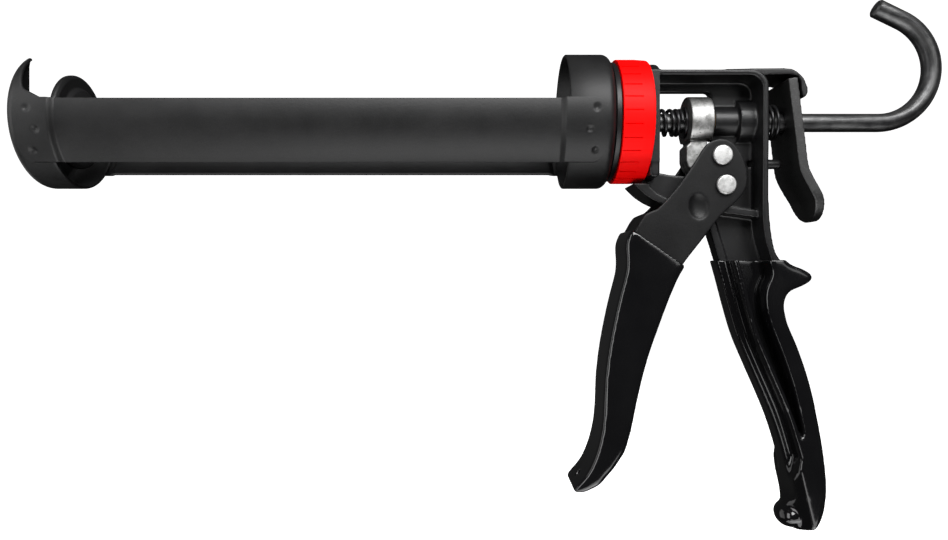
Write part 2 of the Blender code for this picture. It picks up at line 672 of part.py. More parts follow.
def plunger():
    bore = STUD_RADIUS + GAP
    hub_front = ROD_FRONT - GAP - HUB_LENGTH
    disc_rear = hub_front - GAP
    disc_front = disc_rear - PLUNGER_SHEET
    part(turned("plunger_hub", [
        (hub_front, bore), (hub_front, HUB_RADIUS), (hub_front + 1.2 * MM, HUB_RADIUS),
        (ROD_FRONT - GAP, HUB_RADIUS - 2.2 * MM), (ROD_FRONT - GAP, bore),
    ], 30), BLACK_POWDER)
    part(turned("plunger_disc", [
        (disc_front, bore), (disc_front, PLUNGER_RADIUS - 3.4 * MM),
        (disc_front - PLUNGER_RIM + PLUNGER_SHEET, PLUNGER_RADIUS - PLUNGER_SHEET),
        (disc_front - PLUNGER_RIM + PLUNGER_SHEET, PLUNGER_RADIUS),
        (disc_rear - 1.4 * MM, PLUNGER_RADIUS), (disc_rear, PLUNGER_RADIUS - 1.8 * MM), (disc_rear, bore),
    ]), BLACK_POWDER)
    nut_rear = disc_front - GAP
    nut = turned("plunger_nut", [
        (nut_rear - NUT_LENGTH, 0.0), (nut_rear - NUT_LENGTH, NUT_RADIUS - 0.8 * MM),
        (nut_rear - NUT_LENGTH + 0.8 * MM, NUT_RADIUS), (nut_rear, NUT_RADIUS), (nut_rear, 0.0),
    ], 6)
    combine(nut, ring_hole("nut bore", nut_rear - 2 * NUT_LENGTH, nut_rear + NUT_LENGTH, bore))
    part(nut, ZINC)


# ---- trigger ----

def cheek_outline():
    """Side view of the pressed trigger, from its top lobe round to its tip and back up the spine."""
    return smooth(mm(
        (29.7, -8.9), (35.0, -10.4), (39.0, -15.5), (41.2, -22.5), (41.0, -29), (37.4, -34.6),
        (30.5, -40.8), (23.2, -50.2), (17.2, -57.8), (12.4, -64.7), (7.8, -74.8), (2.8, -88.2),
        (-1.8, -101.6), (-6.0, -118.4), (-8.7, -131.8), (-12.9, -144.2), (-18.3, -151.5), (-24, -156.8),
        (-28.6, -159.6), (-31.0, -158.4), (-28.7, -154.8), (-24.6, -150.2), (-21.2, -143.2),
        (-19.0, -135.8), (-17.6, -127), (-17.2, -116), (-16.2, -103.5), (-13.9, -89.5), (-10.8, -75.3),
        (-8.2, -65.5), (-7.7, -59), (-8.4, -54.3), (-7.2, -49.8), (-4.4, -45.4), (-1.2, -40.4), (3.6, -38.4),
        (7.6, -34.4), (13, -28), (20.4, -17.2), (24.2, -11.4),
    ), TRIGGER_STEPS, closed=True)


def channel_outline():
    """The inside of the pressed channel, open to the rear and, above the spine, to the front."""
    spine = smooth(mm(
        (-23.6, -151.5), (-19.2, -142.6), (-17.0, -135.4), (-15.7, -127), (-15.3, -116),
        (-14.3, -103.8), (-12.0, -90), (-8.9, -76), (-6.3, -65.8), (-5.8, -59), (-6.5, -54.5),
        (-5.3, -50.6), (-2.5, -46.2), (0.6, -41.6),
    ), TRIGGER_STEPS)
    return spine + mm((2.2, -39.2), (-4, -32), (-20, -20), (-20, 5), (70, 5), (70, -151.5))


def trigger_body(name, grow, bend=0.0):
    """The pressed channel, grown on all sides by a distance, with the bend of its sheet."""
    body = prism(name, offset(cheek_outline(), grow), CHEEK_OUTER + grow)
    channel = prism(f"{name} channel", offset(channel_outline(), -grow), CHEEK_INNER - grow)
    if bend:
        round_spine(body, bend)
    return combine(body, channel)


def round_spine(obj, radius):
    """Rounds the two long edges on the channel's closed front side."""
    shape = bmesh.new()
    shape.from_mesh(obj.data)
    bmesh.ops.dissolve_limit(shape, angle_limit=math.radians(1), verts=shape.verts, edges=shape.edges)
    bends = []
    for edge in shape.edges:
        normals = [face.normal for face in edge.link_faces]
        front = any(n.x < -0.3 and abs(n.y) < 0.1 for n in normals)
        side = any(abs(n.y) > 0.9 for n in normals)
        heights = [v.co.z for v in edge.verts]
        if front and side and SPINE_END < min(heights) and max(heights) < SPINE_TOP:
            bends.append(edge)
    bmesh.ops.bevel(
        shape, geom=bends, offset=radius, offset_type="OFFSET", segments=3, profile=0.5, affect="EDGES",
    )
    bmesh.ops.triangulate(shape, faces=shape.faces)
    shape.to_mesh(obj.data)
    shape.free()


def trigger():
    body = trigger_body("trigger", 0.0, SPINE_RADIUS)
    combine(body, cross_pin("trigger pivot hole", PIVOT, PIVOT_RADIUS + GAP, 0.03))
    combine(body, cross_pin("trigger drive hole", DRIVE, DRIVE_RADIUS + GAP, 0.03))
    part(body, BLACK_POWDER, PIVOT)
    coat = trigger_body("trigger_grip", COAT + GAP)
    above = mm((-60, -5), (-4.1, -47.6), (14.1, -60.1), (80, -105), (80, 20), (-60, 20))
    combine(coat, prism("above the trigger dip", above, 0.05))
    core = as_mesh(trigger_body("trigger core", GAP))
    combine(coat, core)
    part(coat, GLOSS_VINYL, PIVOT)
    for name, centre, radius in (("pivot_pin", PIVOT, PIVOT_RADIUS), ("drive_pin", DRIVE, DRIVE_RADIUS)):
        part(rivet(name, centre, radius), ZINC, PIVOT)
    sleeve = cross_pin("drive_sleeve", DRIVE, SLEEVE_RADIUS, SLEEVE_HALF)
    combine(sleeve, cross_pin("sleeve bore", DRIVE, DRIVE_RADIUS + GAP, 0.02))
    part(sleeve, DARK_STEEL, PIVOT)
    bush = cross_pin("pivot_bush", PIVOT, PIVOT_RADIUS + GAP + PIVOT_BUSH_WALL, CHEEK_INNER - PLAY)
    combine(bush, cross_pin("bush bore", PIVOT, PIVOT_RADIUS + GAP, 0.02))
    part(bush, BRONZE)


def rivet(name, centre, radius):
    """A pin along Y with a domed head at each end."""
    seat = CHEEK_OUTER + GAP
    top = seat + RIVET_HEAD
    edge = top - 0.5 * MM
    half = [(seat, radius), (seat, RIVET_RADIUS), (edge, RIVET_RADIUS), (top, RIVET_RADIUS - 0.7 * MM)]
    profile = [(-top, 0.0)] + [(-x, r) for x, r in reversed(half)] + half + [(top, 0.0)]
    obj = turned(name, profile, SMALL_STEPS)
    obj.data.transform(Matrix.Translation(centre) @ Matrix.Rotation(math.pi / 2, 4, "Z"))
    return obj


# ---- drive block, springs, release ----

def drive_block():
    collar = turned("drive_block", [(BLOCK_FRONT, 0.0), (BLOCK_FRONT, BLOCK_RADIUS),
                                    (BLOCK_REAR, BLOCK_RADIUS), (BLOCK_REAR, 0.0)], ROUND_STEPS)
    combine(collar, box("block flat", (BLOCK_FRONT - 5 * MM, -0.02, BLOCK_FLAT - 0.02),
                        (BLOCK_REAR + 5 * MM, 0.02, BLOCK_FLAT)))
    face = DRIVE.x - SLEEVE_RADIUS - GAP
    tail = [(BLOCK_FRONT + 0.8 * MM, BLOCK_FLAT + 2 * MM), (BLOCK_FRONT + 0.8 * MM, BLOCK_FLAT - 1 * MM),
            (TAIL_FRONT, BLOCK_FLAT - 2.6 * MM), (TAIL_FRONT, TAIL_BOTTOM + 5.0 * MM),
            (TAIL_FRONT + 1.4 * MM, TAIL_BOTTOM + 2.0 * MM), (BLOCK_FRONT + 3.4 * MM, TAIL_BOTTOM),
            (face - 0.8 * MM, TAIL_BOTTOM), (face, TAIL_BOTTOM + 1.2 * MM), (face, BLOCK_FLAT + 2 * MM)]
    combine(collar, prism("tail", tail, TAIL_HALF), "UNION")
    combine(collar, ring_hole("block bore", BLOCK_FRONT - 5 * MM, BLOCK_REAR + 5 * MM,
                              ROD_RADIUS + ROD_CLEARANCE))
    part(collar, ZINC)
    seat_rear = BLOCK_FRONT - GAP
    part(ring("spring_seat", seat_rear - SPRING_SEAT, seat_rear, ROD_RADIUS + ROD_CLEARANCE,
              spring_radius(RETURN_WIRE) + RETURN_WIRE + 0.6 * MM, SMALL_STEPS), DARK_STEEL)


def spring_radius(wire):
    """Mean radius of a spring that clears the rod."""
    return ROD_RADIUS + ROD_CLEARANCE + wire + 0.25 * MM


def coil(name, start, end, wire, turns, radius, per_turn=10):
    """A round-wire spring round the rod, between two faces, with its end turns closed up."""
    low, high = start + GAP + wire, end - GAP - wire
    closed, rise = 0.75, 2.4 * wire
    count = int(turns * per_turn)
    points = []
    for i in range(count + 1):
        turned_by = turns * i / count
        first, last = min(turned_by, closed), max(turned_by - turns + closed, 0.0)
        middle = (turned_by - first - last) / (turns - 2 * closed)
        x = low + rise * (first + last) / closed + (high - low - 2 * rise) * middle
        angle = 2 * math.pi * turned_by
        points.append((x, radius * math.cos(angle), radius * math.sin(angle)))
    return part(tube(name, points, wire, 2), DARK_STEEL)


def springs():
    seat_front = BLOCK_FRONT - GAP - SPRING_SEAT
    coil("return_spring", HEAD_THICKNESS, seat_front, RETURN_WIRE, RETURN_TURNS, spring_radius(RETURN_WIRE))
    coil("release_spring", WALL_REAR + 0.8 * MM, WALL_REAR + 9.2 * MM, RELEASE_WIRE, RELEASE_TURNS,
         RELEASE_RADIUS)


def release_lever():
    """A flat plate hung from the tang, with its tail bent to the rear."""
    half = LEVER_THICKNESS / 2
    bend = smooth(
        mm((0.0, -26.0), (0.0, -37.0), (1.2, -42.0), (3.2, -47.0), (5.0, -52.0)) + [(5.8 * MM, -LEVER_LENGTH)]
    )
    line = [Vector((0.0, 0.0))] + [Vector(p) for p in bend]
    left, right = [], []
    for i, point in enumerate(line):
        along = (line[min(i + 1, len(line) - 1)] - line[max(i - 1, 0)]).normalized()
        across = Vector((-along.y, along.x)) * half
        left.append(tuple(point - across))
        right.append(tuple(point + across))
    lever = prism("release_lever", right + left[::-1], LEVER_HALF)
    face = arc((0.0, LEVER_HALF - LEVER_LENGTH), LEVER_HALF - 0.01 * MM, 180, 360, 20)
    blank = [(0.02, -0.03), (0.02, 0.02), (-0.02, 0.02), (-0.02, -0.03)]
    tail = prism("lever tail", face + blank, 0.05)
    tail.data.transform(Matrix.Rotation(math.pi / 2, 4, "Z"))
    combine(lever, tail, "INTERSECT")
    hole_down = LEVER_TOP.z / math.cos(LEVER_TILT)
    hole = ring_hole("lever hole", -0.01, 0.01, ROD_RADIUS + LEVER_HOLE_CLEARANCE)
    hole.data.transform(Matrix.Translation((0.0, 0.0, -hole_down)))
    combine(lever, hole)
    lever = as_mesh(lever)
    lever.data.transform(Matrix.Translation(LEVER_TOP) @ Matrix.Rotation(-LEVER_TILT, 4, "Y"))
    return part(lever, BLACK_POWDER, LEVER_TOP)


def stop_pin():
    start = WALL_FRONT + 0.2 * MM
    pin = turned("stop_pin", [
        (start, 0.0), (start, STOP_PIN_RADIUS), (STOP_PIN_END - 1.2 * MM, STOP_PIN_RADIUS),
        (STOP_PIN_END - 0.3 * MM, STOP_PIN_RADIUS * 0.7), (STOP_PIN_END, 0.0),
    ], SMALL_STEPS)
    pin.data.transform(Matrix.Translation((0.0, 0.0, STOP_PIN_HEIGHT)))
    return part(pin, BLACK_CAST)


for old in list(bpy.data.objects):
    bpy.data.objects.remove(old)
PARTS = collection("caulking gun")
CUTTERS = collection("cutters")
BLACK_CAST = finish("black casting", (0.02, 0.02, 0.022), 0.45, 0.0)
BLACK_POWDER = finish("black powder coat", (0.025, 0.025, 0.027), 0.5, 0.0)
GLOSS_VINYL = finish("gloss black vinyl", (0.008, 0.008, 0.009), 0.15, 0.0)
RED_PLASTIC = finish("red plastic", (0.8, 0.0, 0.003), 0.35, 0.0)
ZINC = finish("bright zinc", (0.62, 0.62, 0.62), 0.35, 1.0)
DARK_STEEL = finish("dark steel", (0.06, 0.06, 0.065), 0.4, 1.0)
BRONZE = finish("bronze", (0.5, 0.32, 0.14), 0.4, 1.0)

handle_frame()
handle_grip()
turning_joint()
front_cup()
rear_cup()
strap("left_strap", -1)
strap("right_strap", 1)
push_rod()
plunger()
trigger()
drive_block()
springs()
release_lever()
stop_pin()
part(ring("rear_rod_bush", BOSS_SMALL_FRONT - GAP, WALL_REAR + 0.6 * MM, ROD_RADIUS + ROD_CLEARANCE,
          rear_bush_outer(), SMALL_STEPS), BRONZE)
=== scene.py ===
"""The looks of a caulking gun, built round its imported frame: fine meshes, finishes, studio and camera.

Lengths are in metres in the frame's own axes: the origin is on the barrel axis at the frame's head,
+X points to the rear and -Y to the side that the camera sees.
"""

from __future__ import annotations

import logging
import math
from dataclasses import dataclass, field
from enum import Enum
from typing import Any, Sequence

import bmesh
import bpy
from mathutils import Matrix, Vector


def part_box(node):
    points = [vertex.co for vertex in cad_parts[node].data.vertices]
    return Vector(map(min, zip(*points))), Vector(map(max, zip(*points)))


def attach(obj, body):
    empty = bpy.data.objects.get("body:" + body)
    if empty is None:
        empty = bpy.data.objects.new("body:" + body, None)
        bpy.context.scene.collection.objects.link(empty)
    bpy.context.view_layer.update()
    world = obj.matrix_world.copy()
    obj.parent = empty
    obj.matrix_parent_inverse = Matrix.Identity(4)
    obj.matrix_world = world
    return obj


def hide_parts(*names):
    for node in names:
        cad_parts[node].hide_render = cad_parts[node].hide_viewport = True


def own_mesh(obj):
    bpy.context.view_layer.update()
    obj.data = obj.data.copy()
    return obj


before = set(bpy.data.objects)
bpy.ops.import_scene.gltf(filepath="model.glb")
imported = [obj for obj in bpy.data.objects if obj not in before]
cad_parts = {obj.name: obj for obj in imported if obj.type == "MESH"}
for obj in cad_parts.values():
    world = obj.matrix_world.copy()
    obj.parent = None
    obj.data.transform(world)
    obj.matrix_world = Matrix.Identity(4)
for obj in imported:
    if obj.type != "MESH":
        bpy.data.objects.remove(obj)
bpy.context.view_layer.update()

MM = 0.001
GAP = 0.3 * MM  # between pieces that touch
LOG = logging.getLogger("caulking_gun")
Point = tuple[float, float]
Triple = tuple[float, float, float]
Mesh = bpy.types.Object
Material = bpy.types.Material


class Body(Enum):
    """The moving bodies that pieces ride on."""

    FRAME = "frame"
    CRADLE = "cradle"
    TRIGGER = "trigger"
    DRIVER = "driver"
    RELEASE = "release"
    PLUNGER = "plunger"
    ROD = "rod"


class Slot(Enum):
    """The finish slots of the record."""

    CASTING = "black_casting"
    POWDER = "black_powder"
    VINYL = "black_vinyl"
    COLLAR = "red_collar"
    ZINC = "zinc"
    DARK = "dark_steel"
    BRONZE = "bronze"


# ---- shader arithmetic ----


class Value:
    """A shader socket that takes part in Python expressions."""

    def __init__(self, shader: Shader, socket: bpy.types.NodeSocket) -> None:
        """Wraps one output socket."""
        self.shader = shader
        self.socket = socket

    def _math(self, operation: str, other: Any, swap: bool = False) -> Value:
        """Adds one Math node.

        Args:
            operation: The node's operation.
            other: A number or another value.
            swap: True where the other one comes first.

        Returns:
            The node's result.
        """
        first, second = (other, self) if swap else (self, other)
        return self.shader.node("ShaderNodeMath", {"operation": operation}, {0: first, 1: second})

    def __add__(self, other: Any) -> Value:
        """The sum."""
        return self._math("ADD", other)

    __radd__ = __add__

    def __sub__(self, other: Any) -> Value:
        """The difference."""
        return self._math("SUBTRACT", other)

    def __rsub__(self, other: Any) -> Value:
        """The difference, reflected."""
        return self._math("SUBTRACT", other, swap=True)

    def __mul__(self, other: Any) -> Value:
        """The product."""
        return self._math("MULTIPLY", other)

    __rmul__ = __mul__

    def __pow__(self, other: Any) -> Value:
        """The power."""
        return self._math("POWER", other)

    def between(self, low: float, high: float) -> Value:
        """A soft step, 0 below low and 1 above high."""
        sockets = {"Value": self, "From Min": low, "From Max": high}
        return self.shader.node("ShaderNodeMapRange", {"interpolation_type": "SMOOTHSTEP"}, sockets)


class Shader:
    """One material under construction."""

    def __init__(self, name: str) -> None:
        """Starts an empty material."""
        self.material = bpy.data.materials.new(name)
        self.material.use_nodes = True
        self.tree = self.material.node_tree
        self.tree.nodes.clear()
        self.place = self.node("ShaderNodeTexCoord", output="Object")

    def node(
        self,
        kind: str,
        settings: dict[str, Any] | None = None,
        sockets: dict[str | int, Any] | None = None,
        output: str | int = 0,
    ) -> Value:
        """Adds a node.

        Args:
            kind: The node's type.
            settings: Its properties, set before its sockets.
            sockets: Numbers, colours or values for its inputs.
            output: The output that is wanted.

        Returns:
            That output as a value.
        """
        made = self.tree.nodes.new(kind)
        for key, value in (settings or {}).items():
            setattr(made, key, value)
        for key, value in (sockets or {}).items():
            if isinstance(value, Value):
                self.tree.links.new(value.socket, made.inputs[key])
            else:
                made.inputs[key].default_value = value
        return Value(self, made.outputs[output])

    def noise(self, scale: float, detail: float = 2.0, place: Value | None = None) -> Value:
        """Soft noise from 0 to 1, with this many features to the metre."""
        sockets = {"Vector": place or self.place, "Scale": scale, "Detail": detail, "Roughness": 0.55}
        return self.node("ShaderNodeTexNoise", None, sockets)

    def stretched(self, scale: Sequence[float], place: Value | None = None) -> Value:
        """The place scaled unevenly, for grain that runs one way."""
        sockets = {"Vector": place or self.place, "Scale": tuple(scale)}
        return self.node("ShaderNodeMapping", None, sockets)

    def blend(self, share: Value, low: Sequence[float], high: Sequence[float]) -> Value:
        """A colour between two, by share."""
        sockets = {"Factor": share, 6: (*low, 1.0), 7: (*high, 1.0)}
        return self.node("ShaderNodeMix", {"data_type": "RGBA"}, sockets, output=2)

    def bump(self, height: Value, depth: float, below: Value | None = None) -> Value:
        """Relief of this depth in metres, over other relief."""
        sockets: dict[str | int, Any] = {"Height": height, "Distance": depth, "Strength": 1.0}
        if below is not None:
            sockets["Normal"] = below
        return self.node("ShaderNodeBump", None, sockets)

    def finish(self, sockets: dict[str | int, Any]) -> Material:
        """Closes the material with its surface shader."""
        surface = self.node("ShaderNodeBsdfPrincipled", None, sockets)
        output = self.tree.nodes.new("ShaderNodeOutputMaterial")
        self.tree.links.new(surface.socket, output.inputs["Surface"])
        return self.material


# ---- finishes ----


@dataclass(frozen=True)
class PowderCoat:
    """Baked black powder: fine orange peel with a soft sheen."""

    name: str = "powder coat"
    dark: Triple = (0.006, 0.006, 0.0063)
    light: Triple = (0.014, 0.014, 0.0143)
    sheen: float = 0.46
    peel: float = 1100.0
    depth: float = 0.035 * MM
    gloss: float = 0.34

    def material(self) -> Material:
        """Builds the finish."""
        shader = Shader(self.name)
        blotch = shader.noise(55.0, 4.0)
        speck = shader.noise(2600.0, 1.0)
        colour = shader.blend((blotch * 0.6 + speck * 0.4).between(0.3, 0.7), self.dark, self.light)
        roughness = blotch * 0.10 + speck * 0.06 + (self.sheen - 0.08)
        relief = shader.bump(shader.noise(self.peel, 1.5), self.depth)
        relief = shader.bump(speck, self.depth * 0.35, relief)
        return shader.finish({"Base Color": colour, "Roughness": roughness, "Normal": relief,
                              "Specular IOR Level": self.gloss})


@dataclass(frozen=True)
class SatinCasting:
    """Painted die casting: close sandy grain, darker and smoother than powder."""

    name: str = "satin casting"
    dark: Triple = (0.005, 0.005, 0.0055)
    light: Triple = (0.012, 0.012, 0.0125)
    sheen: float = 0.36

    def material(self) -> Material:
        """Builds the finish."""
        shader = Shader(self.name)
        cloud = shader.noise(90.0, 3.0)
        sand = shader.noise(2100.0, 2.0)
        colour = shader.blend(cloud, self.dark, self.light)
        roughness = cloud * 0.12 + sand * 0.08 + (self.sheen - 0.1)
        relief = shader.bump(sand, 0.022 * MM, shader.bump(shader.noise(420.0, 1.0), 0.03 * MM))
        return shader.finish({"Base Color": colour, "Roughness": roughness, "Normal": relief,
                              "Specular IOR Level": 0.36})


@dataclass(frozen=True)
class DippedVinyl:
    """Thick gloss vinyl: a wet surface with slow waves and a few dust nibs."""

    name: str = "dipped vinyl"
    dark: Triple = (0.0025, 0.0025, 0.003)
    light: Triple = (0.006, 0.006, 0.0065)

    def material(self) -> Material:
        """Builds the finish."""
        shader = Shader(self.name)
        wave = shader.noise(70.0, 2.0)
        skin = shader.noise(600.0, 1.0)
        nib = shader.noise(420.0, 0.0).between(0.78, 0.84)
        relief = shader.bump(wave, 0.10 * MM)
        relief = shader.bump(skin * 0.3 + nib, 0.012 * MM, relief)
        roughness = wave * 0.05 + skin * 0.03 + 0.09
        return shader.finish({"Base Color": shader.blend(wave, self.dark, self.light),
                              "Roughness": roughness, "Normal": relief, "Specular IOR Level": 0.5,
                              "Coat Weight": 0.35, "Coat Roughness": 0.04})


@dataclass(frozen=True)
class MouldedRed:
    """Signal-red moulded plastic with faint flow marks."""

    name: str = "moulded red"
    deep: Triple = (0.92, 0.0, 0.0)
    bright: Triple = (1.0, 0.0, 0.0)

    def material(self) -> Material:
        """Builds the finish."""
        shader = Shader(self.name)
        flow = shader.noise(1.0, 3.0, shader.stretched((40.0, 220.0, 220.0)))
        grain = shader.noise(2400.0, 1.0)
        relief = shader.bump(flow, 0.05 * MM, shader.bump(grain, 0.01 * MM))
        return shader.finish({"Base Color": shader.blend(flow.between(0.3, 0.7), self.deep, self.bright),
                              "Roughness": flow * 0.16 + grain * 0.05 + 0.42, "Normal": relief,
                              "Specular IOR Level": 0.12})


@dataclass(frozen=True)
class BareMetal:
    """Uncoated or plated metal, mottled and marked, with dirt in its hollows."""

    name: str
    bright: Triple
    dull: Triple
    roughness: float
    mottle: float = 420.0
    depth: float = 0.03 * MM
    metallic: float = 1.0
    grain: Triple = (1.0, 1.0, 1.0)

    def material(self) -> Material:
        """Builds the finish."""
        shader = Shader(self.name)
        place = shader.stretched(self.grain)
        mottle = shader.noise(self.mottle, 5.0, place)
        cloud = shader.noise(self.mottle * 0.28, 3.0, place)
        pit = 1.0 - shader.noise(self.mottle * 2.2, 2.0, place).between(0.62, 0.72)
        colour = shader.blend((mottle * 0.6 + cloud * 0.4).between(0.34, 0.62) * pit, self.dull, self.bright)
        relief = shader.bump(mottle * 0.6 + pit * 0.4, self.depth)
        roughness = (1.0 - mottle) * 0.24 + self.roughness - 0.1
        return shader.finish({"Base Color": colour, "Roughness": roughness,
                              "Metallic": self.metallic, "Normal": relief})


@dataclass(frozen=True)
class DrawnBar:
    """Oiled drawn steel: streaks that run along the bar, round its bend too."""

    name: str = "drawn bar"
    dark: Triple = (0.030, 0.030, 0.031)
    light: Triple = (0.115, 0.115, 0.115)

    def material(self) -> Material:
        """Builds the finish."""
        shader = Shader(self.name)
        along = shader.node("ShaderNodeAttribute", {"attribute_name": "unbent"}, output="Vector")
        streak = shader.noise(1.0, 4.0, shader.stretched((38.0, 620.0, 620.0), along))
        blotch = shader.noise(240.0, 4.0, along)
        mark = shader.noise(900.0, 3.0, along).between(0.60, 0.72)
        share = (streak * 0.65 + blotch * 0.35).between(0.36, 0.66)
        colour = shader.blend(share, self.dark, self.light)
        roughness = 0.46 - streak * 0.16 + mark * 0.12
        relief = shader.bump(streak * 0.6 + mark * 0.4, 0.03 * MM)
        return shader.finish({"Base Color": colour, "Roughness": roughness, "Metallic": 0.75,
                              "Normal": relief})


@dataclass(frozen=True)
class WornEdgeSteel:
    """Blackened plate: dark faces, with sheared edges showing grey specks."""

    name: str = "worn lever"
    black: Triple = (0.012, 0.012, 0.012)
    grey: Triple = (0.09, 0.09, 0.09)

    def material(self) -> Material:
        """Builds the finish."""
        shader = Shader(self.name)
        normal = shader.node("ShaderNodeTexCoord", output="Normal")
        split = shader.node("ShaderNodeSeparateXYZ", None, {"Vector": normal}, output="Y")
        side = shader.node("ShaderNodeMath", {"operation": "ABSOLUTE"}, {0: split}).between(0.35, 0.9)
        fleck = shader.noise(1500.0, 3.0).between(0.54, 0.66)
        cloud = shader.noise(150.0, 3.0)
        ridge = shader.node("ShaderNodeNewGeometry", output="Pointiness").between(0.52, 0.60)
        share = side * 0.35 * cloud + side * fleck * 0.5 + ridge * fleck * 0.9
        relief = shader.bump(shader.noise(1300.0, 2.0), 0.03 * MM)
        return shader.finish({"Base Color": shader.blend(share, self.black, self.grey),
                              "Roughness": 0.34 + fleck * 0.18 + cloud * 0.08, "Metallic": share * 0.6,
                              "Normal": relief})


@dataclass(frozen=True)
class StudioPaper:
    """Seamless white paper with a faint tooth."""

    name: str = "studio paper"

    def material(self) -> Material:
        """Builds the finish."""
        shader = Shader(self.name)
        tooth = shader.noise(300.0, 2.0)
        return shader.finish({"Base Color": shader.blend(tooth, (0.86, 0.86, 0.86), (0.9, 0.9, 0.9)),
                              "Roughness": 0.9, "Normal": shader.bump(tooth, 0.02 * MM),
                              "Specular IOR Level": 0.1, "Emission Color": (1.0, 1.0, 1.0, 1.0),
                              "Emission Strength": 1.0})


def once(finish: Any) -> Any:
    """A field that holds a finish's material."""
    return field(default_factory=finish.material)


@dataclass
class Finishes:
    """Every finish of the object, built once."""

    powder: Material = once(PowderCoat())
    casting: Material = once(SatinCasting())
    vinyl: Material = once(DippedVinyl())
    red: Material = once(MouldedRed())
    pressed: Material = once(PowderCoat(
        "pressed black", (0.003, 0.003, 0.0033), (0.009, 0.009, 0.0093), 0.42, 900.0, gloss=0.24))
    rivet: Material = once(BareMetal(
        "peened rivet", (0.62, 0.62, 0.615), (0.33, 0.33, 0.325), 0.50))
    zinc: Material = once(BareMetal(
        "bright zinc", (0.46, 0.46, 0.455), (0.20, 0.20, 0.195), 0.50))
    plate: Material = once(BareMetal(
        "plated washer", (0.55, 0.55, 0.54), (0.25, 0.25, 0.24), 0.36, 700.0, 0.015 * MM))
    bar: Material = once(DrawnBar())
    lever: Material = once(WornEdgeSteel())
    spring: Material = once(BareMetal(
        "spring wire", (0.035, 0.035, 0.037), (0.010, 0.010, 0.010), 0.28, 500.0, 0.01 * MM, 0.5))
    steel: Material = once(BareMetal(
        "turned steel", (0.12, 0.12, 0.12), (0.04, 0.04, 0.04), 0.36, 600.0, 0.015 * MM))
    bronze: Material = once(BareMetal(
        "sintered bronze", (0.60, 0.38, 0.17), (0.26, 0.15, 0.06), 0.42, 900.0, 0.03 * MM))


# ---- modelling ----


def arc(centre: Point, radius: float, start: float, end: float, steps: int = 8) -> list[Point]:
    """Points on an arc between two angles in degrees."""
    angles = [math.radians(start + (end - start) * i / steps) for i in range(steps + 1)]
    return [(centre[0] + radius * math.cos(a), centre[1] + radius * math.sin(a)) for a in angles]


def quarter(steps: int) -> list[float]:
    """Angles in radians from 0 to a right angle."""
    return [math.pi / 2 * i / steps for i in range(steps + 1)]


def in_mm(points: Sequence[Point]) -> list[Point]:
    """An outline given in millimetres, in metres."""
    return [(a * MM, b * MM) for a, b in points]


def filleted(points: Sequence[Point], radius: float, steps: int = 4) -> list[Point]:
    """A closed outline with its corners rounded.

    Args:
        points: The outline's corners in order.
        radius: The fillet, made smaller where a side is short; a corner on the axis stays.
        steps: Points in each fillet.

    Returns:
        The new outline.
    """
    rounded: list[Point] = []
    count = len(points)
    for i, here in enumerate(points):
        corner = Vector(here)
        to_last = Vector(points[i - 1]) - corner
        to_next = Vector(points[(i + 1) % count]) - corner
        turn = to_last.angle(to_next)
        if corner.y < 1e-9 or turn > math.radians(168):
            rounded.append(tuple(corner))
            continue
        reach = radius / math.tan(turn / 2)
        reach = min(reach, 0.45 * to_last.length, 0.45 * to_next.length)
        start, end = corner + to_last.normalized() * reach, corner + to_next.normalized() * reach
        for step in range(steps + 1):
            t = step / steps
            rounded.append(tuple((1 - t) ** 2 * start + 2 * t * (1 - t) * corner + t * t * end))
    return rounded


